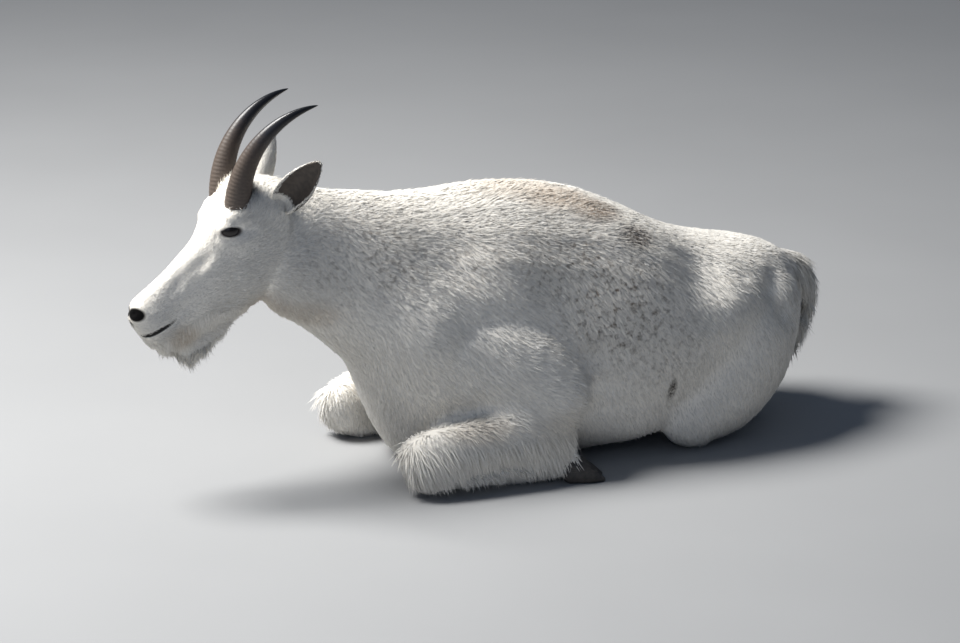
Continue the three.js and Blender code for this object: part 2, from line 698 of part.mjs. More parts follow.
// Where two pieces would share space, the one listed first keeps it
const legs = Object.keys(SIDES).flatMap((name) => [
  { name: `fore_cannon_${name}`, solid: cannonFore(name), tool: cannonFore(name, GAP) },
  { name: `hind_cannon_${name}`, solid: cannonHind(name), tool: cannonHind(name, GAP) },
  ...["fore", "hind"].flatMap((end) =>
    ["inner", "outer"].map((which, k) => {
      const foot = FEET[`${end}_${name}`];
      const half = SIDES[name] * (2 * k - 1);
      return {
        name: `hoof_${end}_${name}_${which}`,
        solid: claw(foot, half),
        tool: claw(foot, half, GAP),
        colour: COLOURS.hoof,
      };
    }),
  ),
]);
const upper = Object.keys(SIDES).flatMap((name) => [
  { name: `upper_foreleg_${name}`, solid: upperArm(name), tool: upperArm(name, GAP) },
  { name: `thigh_${name}`, solid: thigh(name), tool: thigh(name, GAP) },
]);
const lower = Object.keys(SIDES).flatMap((name) => [
  { name: `forearm_${name}`, solid: forearm(name).add(forearmSkirt(name)), tool: forearm(name, GAP) },
  { name: `shank_${name}`, solid: shank(name), tool: shank(name, GAP) },
]);
const legTools = join(legs.map((leg) => leg.tool));
const taken = [legTools];
legs.forEach((leg, i) => {
  const earlier = legs.slice(0, i).map((other) => other.tool);
  const solid = earlier.length ? cut(floored(leg.solid), ...earlier) : floored(leg.solid);
  place(leg.name, solid, leg.colour ?? COLOURS.coat, leg.colour ? 0.6 : 0.9);
});
taken.push(trunkTool);
for (const leg of [...upper, ...lower]) {
  place(leg.name, cut(floored(leg.solid), ...taken), COLOURS.coat);
  taken.push(leg.tool);
}
place("torso", cut(torso, legTools), COLOURS.coat);

group.position.set(-CENTRE_X, -CENTRE_Y, 0);

export default group;
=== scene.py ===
# %% [markdown]
# # A mountain goat at rest
# This lesson dresses the solid model of a mountain goat that lies on its chest.
# The solids give every place and size. Blender adds one skin, a coat of small
# tufts, the horns, the eyes, the hooves and their finishes.

# %% Load the solid model
import math

import bmesh
import bpy
import numpy as np
from mathutils import Matrix, Vector
from mathutils.bvhtree import BVHTree


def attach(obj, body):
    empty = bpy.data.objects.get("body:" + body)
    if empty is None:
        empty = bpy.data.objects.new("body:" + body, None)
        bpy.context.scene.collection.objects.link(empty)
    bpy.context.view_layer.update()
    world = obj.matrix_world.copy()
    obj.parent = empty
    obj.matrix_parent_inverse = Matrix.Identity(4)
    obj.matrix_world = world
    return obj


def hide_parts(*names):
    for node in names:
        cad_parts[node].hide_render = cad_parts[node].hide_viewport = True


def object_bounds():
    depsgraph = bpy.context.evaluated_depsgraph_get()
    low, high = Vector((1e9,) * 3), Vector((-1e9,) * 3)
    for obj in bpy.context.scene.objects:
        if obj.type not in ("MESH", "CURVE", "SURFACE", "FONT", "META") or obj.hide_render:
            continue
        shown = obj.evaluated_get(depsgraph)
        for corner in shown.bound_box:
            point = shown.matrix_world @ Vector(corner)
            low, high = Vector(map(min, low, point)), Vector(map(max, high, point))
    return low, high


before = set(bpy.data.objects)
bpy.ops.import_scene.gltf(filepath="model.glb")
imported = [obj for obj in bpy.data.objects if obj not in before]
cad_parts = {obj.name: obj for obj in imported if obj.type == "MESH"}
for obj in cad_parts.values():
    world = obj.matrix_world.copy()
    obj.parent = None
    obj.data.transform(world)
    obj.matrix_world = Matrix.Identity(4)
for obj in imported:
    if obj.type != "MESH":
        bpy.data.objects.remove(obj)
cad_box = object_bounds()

print("nodes", len(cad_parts), "box", cad_box)

# %% [markdown]
# ## Places on the goat
# The goat was measured in millimetres from a point on the floor under its
# shoulders, nose towards -X and left side towards -Y. One small function turns
# such a place into metres in the model's frame, so each number below can be
# checked against the solids. The head has its own axes: along the face, across
# it, and up out of the brow.

# %% Millimetres to the model's frame
OFFSET = Vector((9.0, 12.0, 0.0))
HEAD_PITCH = math.radians(36)
HEAD_AT = Vector((-400.0, 0.0, 430.0))
FACE = Vector((-math.cos(HEAD_PITCH), 0, -math.sin(HEAD_PITCH)))
BROW = Vector((-math.sin(HEAD_PITCH), 0, math.cos(HEAD_PITCH)))
LEFT, RIGHT = -1, 1
SIDES = {"left": LEFT, "right": RIGHT}


def place(x, y, z):
    return (Vector((x, y, z)) - OFFSET) / 1000


def on_head(s, y, n):
    return place(*(HEAD_AT + FACE * s + BROW * n + Vector((0, y, 0))))


def head_way(s, y, n):
    return (FACE * s + BROW * n + Vector((0, y, 0))).normalized()


print("nose", on_head(250, 0, 50))

# %% [markdown]
# ## Camera
# The picture was taken from the goat's left front, a little above it and from
# some way off. A camera is only a place, a direction and a lens. The lens is
# worked out from the distance and from how many millimetres one pixel covers.

# %% Camera
CAMERA = {"azimuth": -25, "elevation": 17, "distance": 7.0, "mm_per_pixel": 1.7, "width": 960}
LOOK_AT = (0, 0, 232)
SENSOR = 36


def object_of(data):
    """Puts an object with this data into the scene."""
    made = bpy.data.objects.new(data.name, data)
    bpy.context.collection.objects.link(made)
    return made


def set_camera():
    a, e = math.radians(CAMERA["azimuth"]), math.radians(CAMERA["elevation"])
    back = Vector((math.sin(a) * math.cos(e), -math.cos(a) * math.cos(e), math.sin(e)))
    data = bpy.data.cameras.new("camera")
    data.sensor_width = SENSOR
    data.lens = CAMERA["distance"] * 1000 / CAMERA["mm_per_pixel"] * SENSOR / CAMERA["width"]
    camera = object_of(data)
    camera.location = place(*LOOK_AT) + back * CAMERA["distance"]
    camera.rotation_euler = back.to_track_quat("Z", "Y").to_euler()
    bpy.context.scene.camera = camera
    return camera


camera = set_camera()
print("lens", round(camera.data.lens, 1))

# %% [markdown]
# ## Colours, patterns and nodes
# Colours are written as the hex values seen on a screen, and Blender wants them
# linear, so one function turns them. A pattern's scale counts grains per metre,
# so a second one works it out from the real size of a grain. A third adds a
# shader node with its settings and links, which keeps the materials short.


# %% Helpers for materials
def linear(hex_value, alpha=1.0):
    parts = [int(hex_value[i : i + 2], 16) / 255 for i in (1, 3, 5)]
    return [c / 12.92 if c <= 0.04045 else ((c + 0.055) / 1.055) ** 2.4 for c in parts] + [alpha]


def per_mm(size):
    """The scale that gives a pattern a grain of this size in mm."""
    return 1000 / size


def add(tree, kind, settings=None, stops=(), **inputs):
    """Adds a node with its settings, the stops of its ramp and its links.

    Names in inputs are socket names with spaces as _, or i0, i1 for a socket's number.
    """
    node = tree.nodes.new("ShaderNode" + kind)
    for key, value in (settings or {}).items():
        setattr(node, key, value)
    for number, (position, colour) in enumerate(stops):
        ramp = node.color_ramp.elements
        stop = ramp[number] if number < 2 else ramp.new(position)
        stop.position, stop.color = position, linear(colour)
    for key, value in inputs.items():
        number = key[1:].isdigit() and key[0] == "i"
        socket = node.inputs[int(key[1:])] if number else node.inputs[key.replace("_", " ")]
        if isinstance(value, bpy.types.NodeSocket):
            tree.links.new(value, socket)
        else:
            socket.default_value = value
    return node


print("cream", [round(c, 3) for c in linear("#e9e4d8")], "4 mm grain", per_mm(4))


# %% Starts of a material
def new_material(name):
    material = bpy.data.materials.new(name)
    material.use_nodes = True
    tree = material.node_tree
    tree.nodes.clear()
    surface = add(tree, "BsdfPrincipled")
    output = add(tree, "OutputMaterial")
    tree.links.new(surface.outputs[0], output.inputs[0])
    return material, tree, surface


def bump_up(tree, surface, height, strength, metres):
    bump = add(tree, "Bump", Strength=strength, Distance=metres, Height=height)
    tree.links.new(bump.outputs[0], surface.inputs["Normal"])


def mottled(name, grain, detail, dark, light, roughness):
    """A material that goes from dark to light with one noise, whose grain is in mm."""
    material, tree, surface = new_material(name)
    where = add(tree, "TexCoord").outputs["Object"]
    noise = add(tree, "TexNoise", Vector=where, Scale=per_mm(grain), Detail=detail).outputs[0]
    ramp = add(tree, "ValToRGB", stops=[(0.0, dark), (1.0, light)], Fac=noise)
    tree.links.new(ramp.outputs[0], surface.inputs["Base Color"])
    surface.inputs["Roughness"].default_value = roughness
    return material, tree, surface, noise


print("helpers for materials", new_material.__name__, mottled.__name__)

# %% [markdown]
# ## Markings of the coat
# A mountain goat in summer is off-white. Grey-brown hair shows through in
# flecks on the neck, shoulder and flank, a brown stripe runs along the loin, and
# the throat and the front of the beard are stained tan. One dark slit in the fold
# of the flank is painted shade. Painting these as soft spots at places on the
# body keeps skin and coat alike, because both read the same object coordinates.

# %% Markings
SPOTS = [
    # place, size along x y z in mm, strength, colour
    (place(60, -30, 478), (90, 45, 22), 0.45, "#bda88e"),
    (place(125, -60, 456), (70, 40, 24), 0.7, "#a58d73"),
    (place(185, -84, 432), (52, 34, 24), 0.85, "#8d7660"),
    (place(239, -124, 388), (38, 30, 26), 0.85, "#55473c"),
    (place(60, 30, 478), (90, 45, 22), 0.35, "#bda88e"),
    (place(125, 60, 456), (70, 40, 24), 0.5, "#a58d73"),
    (place(185, 84, 432), (52, 34, 24), 0.6, "#8d7660"),
    # painted shade: a dark slit in the fold of the flank, over the pit in the skin there
    (place(273, -190, 127), (9, 30, 20), 1.0, "#453e37"),
    (on_head(205, -20, -38), (26, 30, 22), 0.5, "#b59a76"),
    (on_head(66, 0, -92), (46, 60, 26), 0.45, "#bda587"),
    (place(-330, -40, 300), (50, 60, 26), 0.4, "#b8a07e"),
    (on_head(-30, -34, 95), (17, 22, 20), 0.9, "#3b3430"),
    (on_head(-30, 34, 95), (17, 22, 20), 0.9, "#3b3430"),
    (place(-97, -210, 112), (60, 30, 26), 0.4, "#b9a68c"),
    (place(46, -205, 100), (50, 30, 30), 0.35, "#a8997f"),
]
FLECKED = [
    # place, size along x y z in mm, strength
    (place(-290, -80, 400), (80, 70, 90), 0.5),
    (place(-200, -90, 410), (80, 80, 90), 0.75),
    (place(-60, -130, 400), (110, 90, 70), 0.6),
    (place(90, -140, 370), (100, 90, 80), 0.9),
    (place(175, -180, 290), (110, 90, 110), 1.0),
    (place(250, -190, 220), (90, 80, 90), 0.6),
    (place(-200, 90, 410), (110, 80, 90), 0.6),
    (place(90, 150, 340), (160, 110, 110), 0.8),
]


def soft_spot(tree, where, middle, sizes, strength, inner=0.35, outer=1.5):
    """The strength at the middle, fading to none past an ellipsoid of these sizes."""
    moved = add(tree, "VectorMath", {"operation": "SUBTRACT"}, i0=where, i1=middle)
    scale = [1000 / s for s in sizes]
    scaled = add(tree, "VectorMath", {"operation": "MULTIPLY"}, i0=moved.outputs[0], i1=scale)
    far = add(tree, "VectorMath", {"operation": "LENGTH"}, i0=scaled.outputs[0])
    fade = add(
        tree, "MapRange", {"interpolation_type": "SMOOTHSTEP"},
        Value=far.outputs["Value"], From_Min=inner, From_Max=outer, To_Min=strength, To_Max=0.0,
    )
    return fade.outputs[0]


print("spots", len(SPOTS), "flecked areas", len(FLECKED))

# %% Colour of the coat
# sizes in mm: broad clouds of tone, flecks of dark hair, single strands
CLOUD, FLECK, STRAND = 111.1, 9.52, 3.846
EYE_RIM = [(on_head(40, side * 55.5, 66.5), (20.5, 16, 9.5)) for side in (LEFT, RIGHT)]


def mixed(tree, amount, under, over):
    settings = {"data_type": "RGBA", "clamp_factor": True}
    return add(tree, "Mix", settings, i0=amount, i6=under, i7=over).outputs[2]


def coat_colour(tree, base, fleck):
    """The coat's colour and the noise that varies it, both from object coordinates."""
    where = add(tree, "TexCoord").outputs["Object"]
    broad = add(tree, "TexNoise", Vector=where, Scale=per_mm(CLOUD), Detail=3.0).outputs[0]
    hair = add(tree, "TexNoise", Vector=where, Scale=per_mm(STRAND), Detail=2.0).outputs[0]
    shade = add(tree, "ValToRGB", stops=[(0.3, "#e9e3d8"), (0.62, base)], Fac=hair).outputs[0]
    colour = mixed(tree, broad, shade, linear("#f3efe6"))
    patches = add(
        tree, "TexNoise", Vector=where, Scale=per_mm(FLECK), Detail=2.0, Roughness=0.6
    ).outputs[0]
    patch = add(tree, "MapRange", Value=patches, From_Min=0.5, From_Max=0.8).outputs[0]
    area = 0.0
    for middle, sizes, strength in FLECKED:
        spot = soft_spot(tree, where, middle, sizes, strength)
        area = add(tree, "Math", {"operation": "MAXIMUM"}, i0=area, i1=spot).outputs[0]
    amount = add(tree, "Math", {"operation": "MULTIPLY"}, i0=patch, i1=area).outputs[0]
    faint = add(tree, "Math", {"operation": "MULTIPLY_ADD"}, i0=area, i1=0.16, i2=amount).outputs[0]
    colour = mixed(tree, faint, colour, linear(fleck))
    ragged = add(tree, "MapRange", Value=hair, From_Min=0.25, From_Max=0.6).outputs[0]
    for middle, sizes, strength, tint in SPOTS:
        spot = soft_spot(tree, where, middle, sizes, strength)
        spot = add(tree, "Math", {"operation": "MULTIPLY"}, i0=spot, i1=ragged).outputs[0]
        colour = mixed(tree, spot, colour, linear(tint))
    for middle, sizes in EYE_RIM:
        rim = soft_spot(tree, where, middle, sizes, 0.94, 0.7, 1.15)
        colour = mixed(tree, rim, colour, linear("#241d1b"))
    return colour, where, hair


print("grains per metre", [round(per_mm(size)) for size in (CLOUD, FLECK, STRAND)])

# %% [markdown]
# ## Hide and hair
# The hide is thin skin under the fur, matt and a little darker than the hair.
# Hair is keratin: clean, dry and white, so each tuft is bright at its tip and
# shaded near the root where the others cover it. The root shade comes from an
# attribute that is 0 at the root of a tuft and 1 at its tip.

# %% Bare places
NOSTRIL = (248, 17, 54)
NOSTRILS = [on_head(NOSTRIL[0], side * NOSTRIL[1], NOSTRIL[2]) for side in (LEFT, RIGHT)]
MOUTH = [(264, -4, 14), (256, -20, 12), (242, -27, 8), (226, -31, 5), (208, -33, 1), (196, -35, 1)]
# black nose and lip leather; over the nostrils the black is also painted shade, standing in for
# openings that are only shallow pits
DARK_SKIN_AND_NOSTRIL_SHADE = [(spot, (24.5, 21, 13.5), 1.0) for spot in NOSTRILS]
DARK_SKIN_AND_NOSTRIL_SHADE += [(on_head(262, 0, 38), (11, 12, 11), 0.8)]
for a, b in zip(MOUTH[:-1], MOUTH[1:]):
    for part in (0.12, 0.37, 0.63, 0.88):
        s, y, n = (p + (q - p) * part for p, q in zip(a, b))
        DARK_SKIN_AND_NOSTRIL_SHADE += [(on_head(s, side * -y, n), (6, 10, 4.4), 0.95) for side in (LEFT, RIGHT)]
print("bare dark spots", len(DARK_SKIN_AND_NOSTRIL_SHADE))

# %% Hide and hair materials
PEBBLE = 1.43  # mm between the pebbles of the nose leather


def make_hide():
    # hide: dry living skin, matt and even; the bare nose and lips are black leather
    # with a fine pebbled grain and the least shine, and the black of the nostrils is
    # also painted shade for their depth
    material, tree, surface = new_material("goat_hide")
    colour, where, hair = coat_colour(tree, "#efe9de", "#7c7063")
    bare = 0.0
    for middle, sizes, strength in DARK_SKIN_AND_NOSTRIL_SHADE:
        spot = soft_spot(tree, where, middle, sizes, strength, 0.75, 1.1)
        bare = add(tree, "Math", {"operation": "MAXIMUM"}, i0=bare, i1=spot).outputs[0]
    pebble = add(tree, "TexVoronoi", Vector=where, Scale=per_mm(PEBBLE)).outputs[0]
    colour = mixed(tree, bare, colour, linear("#070606"))
    tree.links.new(colour, surface.inputs["Base Color"])
    rough = add(tree, "MapRange", Value=bare, To_Min=0.85, To_Max=0.65).outputs[0]
    tree.links.new(rough, surface.inputs["Roughness"])
    surface.inputs["Specular IOR Level"].default_value = 0.12
    height = add(tree, "Mix", {"data_type": "FLOAT"}, i0=bare, i2=hair, i3=pebble).outputs[0]
    bump_up(tree, surface, height, 0.25, 0.001)
    return material


def make_hair(name, base, fleck):
    # hair: white keratin, clean and dry, so it is bright, rough and hardly shines;
    # each tuft is a little darker at its root and no two have the same tone
    material, tree, surface = new_material(name)
    colour = coat_colour(tree, base, fleck)[0]
    along = add(tree, "Attribute", {"attribute_name": "along"}).outputs["Fac"]
    root = add(tree, "MapRange", Value=along, To_Min=0.82, To_Max=1.0).outputs[0]
    tone = add(tree, "Attribute", {"attribute_name": "tone"}).outputs["Fac"]
    both = add(tree, "Math", {"operation": "MULTIPLY"}, i0=root, i1=tone).outputs[0]
    shade = add(tree, "VectorMath", {"operation": "SCALE"}, i0=colour, Scale=both).outputs[0]
    tree.links.new(shade, surface.inputs["Base Color"])
    surface.inputs["Roughness"].default_value = 0.7
    surface.inputs["Specular IOR Level"].default_value = 0.2
    return material


hide = make_hide()
coat_hair = make_hair("goat_hair", "#fbf9f4", "#6f6459")
long_hair = make_hair("goat_long_hair", "#faf7f0", "#857763")
print(hide.name, coat_hair.name, long_hair.name)

# %% [markdown]
# ## One skin
# Under the hair a goat has one skin with no seams, while the solids are many
# pieces with thin gaps. Copies of them, joined and rebuilt from small cubes of
# space, give one even surface. Smoothing melts the joints, and moving each point
# inwards by the depth of the coat leaves room for the hair.

# %% Copy and join the flesh
FLESH = ["head", "neck", "torso", "tail", "beard"] + [
    f"{part}_{side}"
    for part in ("upper_foreleg", "forearm", "fore_cannon", "thigh", "shank", "hind_cannon")
    for side in SIDES
]
SKIN_SWELL = 0.0006  # metres, so that the gaps between the solids close


def object_from(mesh, name, *materials, smooth=True):
    """Ends a bmesh and returns an object made of it."""
    data = bpy.data.meshes.new(name)
    mesh.to_mesh(data)
    mesh.free()
    data.polygons.foreach_set("use_smooth", [smooth] * len(data.polygons))
    for material in materials:
        data.materials.append(material)
    return object_of(data)


def merged_copy(nodes, name, swell=0.0):
    """One object from copies of solids, their loose triangles merged."""
    mesh = bmesh.new()
    for node in nodes:
        part = bmesh.new()
        part.from_mesh(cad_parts[node].data)
        bmesh.ops.remove_doubles(part, verts=part.verts, dist=1e-5)
        part.normal_update()
        for v in part.verts:
            v.co += v.normal * swell
        held = bpy.data.meshes.new("held")
        part.to_mesh(held)
        part.free()
        mesh.from_mesh(held)
        bpy.data.meshes.remove(held)
    return object_from(mesh, name, smooth=False)


skin = merged_copy(FLESH, "skin", SKIN_SWELL)
print("loose skin", len(skin.data.polygons))

# %% Rebuild it as one even shell
SKIN_CUBE, HOOF_CUBE = 0.0068, 0.0022  # metres, the cubes of the rebuilt surfaces


def apply_modifiers(made):
    depsgraph = bpy.context.evaluated_depsgraph_get()
    data = bpy.data.meshes.new_from_object(made.evaluated_get(depsgraph))
    made.modifiers.clear()
    old = made.data
    made.data = data
    bpy.data.meshes.remove(old)


def rebuild(made, cube):
    mod = made.modifiers.new("even", "REMESH")
    mod.mode, mod.voxel_size = "VOXEL", cube
    apply_modifiers(made)


def largest_shell(mesh):
    """Deletes all but the largest connected piece of a bmesh."""
    seen, shells = set(), []
    for start in mesh.verts:
        if start in seen:
            continue
        shell, queue = [], [start]
        seen.add(start)
        while queue:
            v = queue.pop()
            shell.append(v)
            for edge in v.link_edges:
                other = edge.other_vert(v)
                if other not in seen:
                    seen.add(other)
                    queue.append(other)
        shells.append(shell)
    shells.sort(key=len)
    for shell in shells[:-1]:
        bmesh.ops.delete(mesh, geom=shell, context="VERTS")


rebuild(skin, SKIN_CUBE)
mesh = bmesh.new()
mesh.from_mesh(skin.data)
largest_shell(mesh)
mesh.to_mesh(skin.data)
mesh.free()
print("even skin", len(skin.data.polygons))

# %% [markdown]
# ## How the hair lies
# Hair on a goat runs back from the nose, down the neck and sides, and back and
# down the legs. One table gives, at named places, the way that the hair lies,
# its length, how wide a tuft is and how far it stands off the skin. Every tuft
# reads the rows nearest to its root, which is how a groomer thinks of a coat
# too. The same table gives the depth of the coat.

# %% Lie of the coat
HEAD, BODY = (on_head, head_way), (place, lambda x, y, z: Vector((x, y, z)))
BOTH, ONE = (LEFT, RIGHT), (1,)
LIE = [
    # name, axes, sides, place, way the hair points, (length mm, width mm, lift, depth mm)
    ("nose", HEAD, ONE, (245, 0, 66), (-1, 0, 0.1), (4, 0.9, 0.07, 1.2)),
    ("upper lip", HEAD, BOTH, (236, 28, 28), (-1, 0.1, -0.5), (5, 1.1, 0.14, 1.4)),
    ("chin", HEAD, ONE, (245, 0, -26), (-0.5, 0, -1), (12, 1.6, 0.35, 2.5)),
    ("bridge", HEAD, ONE, (160, 0, 70), (-1, 0, 0.05), (6, 1.0, 0.07, 1.6)),
    ("muzzle", HEAD, BOTH, (160, 32, 15), (-1, 0, -0.35), (6, 1.0, 0.07, 1.6)),
    ("brow", HEAD, ONE, (40, 0, 95), (-1, 0, 0.3), (8, 1.2, 0.1, 2.0)),
    ("eye", HEAD, BOTH, (44, 60, 56), (-1, 0, -0.25), (5, 1.1, 0.10, 1.5)),
    ("cheek", HEAD, BOTH, (50, 56, -20), (-1, 0, -0.6), (10, 1.3, 0.09, 2.4)),
    ("jaw", HEAD, ONE, (150, 0, -70), (-0.6, 0, -1), (16, 1.8, 0.4, 3.5)),
    ("horn", HEAD, BOTH, (-12, 36, 100), (-0.5, 0, 1), (13, 1.5, 0.5, 2.0)),
    ("ear", HEAD, BOTH, (-52, 62, 46), (-1, 0.3, 0.3), (8, 1.3, 0.12, 2.0)),
    ("poll", HEAD, ONE, (-60, 0, 75), (-1, 0, 0), (17, 1.8, 0.34, 4.0)),
    ("throat", BODY, ONE, (-385, 0, 305), (0.5, 0, -0.8), (17, 1.7, 0.18, 4.5)),
    ("neck", BODY, BOTH, (-280, 90, 380), (0.75, 0, -0.65), (14, 1.6, 0.06, 4.6)),
    ("crest", BODY, ONE, (-220, 0, 492), (1, 0, 0.05), (19, 1.7, 0.22, 6.5)),
    ("chest", BODY, ONE, (-230, 0, 170), (0.35, 0, -1), (18, 1.8, 0.07, 5.0)),
    ("shoulder", BODY, BOTH, (-70, 150, 320), (0.7, 0, -0.7), (17, 1.8, 0.05, 5.0)),
    ("withers", BODY, ONE, (0, 0, 480), (1, 0, 0.05), (22, 1.7, 0.24, 8.0)),
    ("back", BODY, ONE, (160, -15, 456), (1, 0, -0.1), (20, 1.7, 0.15, 7.0)),
    ("ribs left", BODY, ONE, (150, -195, 260), (0.5, 0, -0.9), (17, 1.8, 0.05, 5.0)),
    ("ribs right", BODY, ONE, (150, 190, 260), (0.5, 0, -0.9), (17, 1.8, 0.05, 5.0)),
    ("belly", BODY, BOTH, (150, 170, 60), (0.4, 0, -1), (18, 1.8, 0.06, 5.5)),
    ("loin", BODY, ONE, (330, -30, 378), (1, 0, -0.3), (18, 1.8, 0.08, 5.5)),
    ("flank", BODY, BOTH, (360, 180, 230), (0.4, 0, -0.9), (17, 1.8, 0.05, 5.0)),
    ("rump", BODY, ONE, (500, 0, 330), (1, 0, -0.4), (18, 1.8, 0.1, 5.5)),
    ("thigh left", BODY, ONE, (450, -180, 140), (0.25, 0, -1), (17, 1.8, 0.06, 5.0)),
    ("thigh right", BODY, ONE, (450, 180, 150), (0.25, 0, -1), (17, 1.8, 0.06, 5.0)),
    ("buttock", BODY, BOTH, (560, 80, 150), (0.1, 0, -1), (18, 1.8, 0.08, 5.0)),
    ("tail", BODY, ONE, (640, 0, 210), (0.1, 0, -1), (32, 2.0, 0.2, 13.0)),
    ("arm", BODY, BOTH, (20, 205, 170), (0.8, 0, -0.5), (18, 1.8, 0.07, 5.0)),
    ("forearm", BODY, BOTH, (-60, 220, 90), (0.6, 0, -0.8), (23, 1.7, 0.12, 6.0)),
    ("knee", BODY, BOTH, (-200, 180, 80), (0.3, 0, -1), (15, 1.7, 0.11, 4.0)),
    ("shin right", BODY, ONE, (470, 205, 60), (1, 0, -0.2), (14, 2.0, 0.16, 4.0)),
    ("hock right", BODY, ONE, (560, 180, 40), (0.3, 0, -1), (12, 1.9, 0.16, 3.5)),
    ("foot right", BODY, ONE, (430, 215, 30), (-1, 0, -0.3), (10, 1.7, 0.14, 2.5)),
    ("foot fore", BODY, BOTH, (10, 195, 25), (1, 0, -0.3), (10, 1.7, 0.14, 2.5)),
]
lie_at, lie_way, lie_size = [], [], []
for _, (at, way), sides, (x, y, z), (to_x, to_y, to_z), sizes in LIE:
    for side in sides:
        lie_at.append(at(x, side * y, z))
        lie_way.append(way(to_x, side * to_y, to_z).normalized())
        lie_size.append(sizes)
LIE_AT, LIE_WAY, LIE_SIZE = np.array(lie_at), np.array(lie_way), np.array(lie_size)
print("rows in the lie", len(LIE_AT))


# %% The coat at any point
LIE_SOFT = 0.0002  # square metres, so that rows blend instead of meeting in an edge
LIE_BATCH = 20000


def lie_of(points):
    """Way, length, width, lift and depth of the coat at each point, from the nearest rows."""
    ways, sizes = [], []
    for start in range(0, len(points), LIE_BATCH):
        part = points[start : start + LIE_BATCH]
        far = ((part[:, None, :] - LIE_AT[None]) ** 2).sum(2)
        weight = 1 / (far + LIE_SOFT) ** 2
        weight /= weight.sum(1, keepdims=True)
        ways.append(weight @ LIE_WAY)
        sizes.append(weight @ LIE_SIZE)
    return np.concatenate(ways), np.concatenate(sizes)


print("hair at the withers", lie_of(np.array([place(0, 0, 480)]))[1].round(3))

# %% [markdown]
# ## Shaping the skin
# The even surface is smoothed and sunk by the depth of the coat. Soft swells and
# hollows give elbow, shoulder, haunch and the edge of the belly. The head then
# gets smaller faces for the mouth, the nostrils and the openings of the eyes.
# Arrays are quick here, because thousands of points move by one rule.

# %% Points of a mesh as arrays
EYE = {"s": 38.5, "y": 37.5, "n": 66, "radius": 20.5, "long": 17.5, "high": 8.8, "tilt": 33}
EYE_TILT = math.radians(EYE["tilt"])
EYES = {side: on_head(EYE["s"], side * EYE["y"], EYE["n"]) for side in (LEFT, RIGHT)}


def in_mm(points):
    return points * 1000 + np.array(OFFSET)


def head_coordinates(points):
    """Along the face, across it, and up out of the brow, in millimetres, for each point."""
    mm = in_mm(points) - np.array(HEAD_AT)
    return np.stack([mm @ np.array(FACE), mm[:, 1], mm @ np.array(BROW)], 1)


def read(data, what):
    """The places ("co") or the normals ("normal") of a mesh's points."""
    flat = np.empty(len(data.vertices) * 3)
    data.vertices.foreach_get(what, flat)
    return flat.reshape(-1, 3)


def set_points(data, points):
    data.vertices.foreach_set("co", np.asarray(points, dtype=np.float32).ravel())
    data.update()


def smooth_skin(made, turns, factor=0.5):
    mod = made.modifiers.new("smooth", "SMOOTH")
    mod.iterations, mod.factor = turns, factor
    apply_modifiers(made)


print("eyes at", [tuple(round(c, 3) for c in spot) for spot in EYES.values()])

# %% Swells, hollows and creases of the body
BODY_SWELLS = [
    # place on the left side, reach in mm, lift in mm, on both sides or not
    ((70, -210, 150), 42, 8, True),
    ((20, -212, 180), 55, 2, True),
    ((-123, -147, 117), 26, -8, True),
    ((-68, -183, 133), 28, -6, True),
    ((128, -190, 205), 28, -7, True),
    ((140, -188, 155), 30, -10, True),
    ((138, -180, 105), 28, -8, True),
    ((-150, -152, 250), 60, 12, True),
    ((-120, -128, 392), 60, -9, True),
    ((395, -176, 245), 60, 13, False),
    ((350, -140, 335), 52, -8, False),
    ((440, -140, 300), 28, -6, False),
    ((490, -140, 272), 28, -10, False),
    ((514, -150, 228), 26, -9, False),
    ((215, -155, 52), 46, 13, True),
    ((268, -152, 54), 34, 11, False),
    ((300, -146, 40), 24, 7, False),
]
SOFT_CREASES = [
    (-12, -212, 116), (14, -214, 106), (42, -212, 100), (590, -30, 240), (596, -28, 205),
    (598, -24, 170), (300, -165, 72), (330, -178, 105), (365, -178, 145), (400, -174, 182),
    (435, -166, 220),
]
CREASE_REACH, CREASE_TURNS = 42, 60


def near_spot(points, spot, reach):
    gap = (in_mm(points) - np.array(spot, float)) / reach
    return np.exp(-(gap**2).sum(1))


def smooth_near(made, spots, reach, turns):
    """Smooths only round the given spots, which melts a crease between two forms."""
    points = read(made.data, "co")
    weight = np.max([near_spot(points, spot, reach) for spot in spots], 0)
    group = made.vertex_groups.new(name="soft")
    for step in range(1, 11):
        rows = np.nonzero((weight > step / 10 - 0.05) & (weight <= step / 10 + 0.05))[0]
        group.add(rows.tolist(), step / 10, "REPLACE")
    mod = made.modifiers.new("smooth", "SMOOTH")
    mod.iterations, mod.factor, mod.vertex_group = turns, 0.6, "soft"
    apply_modifiers(made)
    made.vertex_groups.clear()


print("swells", len(BODY_SWELLS), "creases", len(SOFT_CREASES))

# %% Smooth, swell and sink the skin
smooth_skin(skin, 5)
smooth_near(skin, SOFT_CREASES, CREASE_REACH, CREASE_TURNS)
points, normals = read(skin.data, "co"), read(skin.data, "normal")
lift = np.zeros(len(points))
for spot, reach, amount, both in BODY_SWELLS:
    lift += amount * near_spot(points, spot, reach)
    if both:
        lift += amount * near_spot(points, (spot[0], -spot[1], spot[2]), reach)
set_points(skin.data, points + normals * lift[:, None] / 1000)
points, normals = read(skin.data, "co"), read(skin.data, "normal")
depth = lie_of(points)[1][:, 3] / 1000
set_points(skin.data, points - normals * depth[:, None])
smooth_skin(skin, 2)
print("swell", lift.min().round(1), lift.max().round(1), "mm, deepest coat", depth.max().round(4))

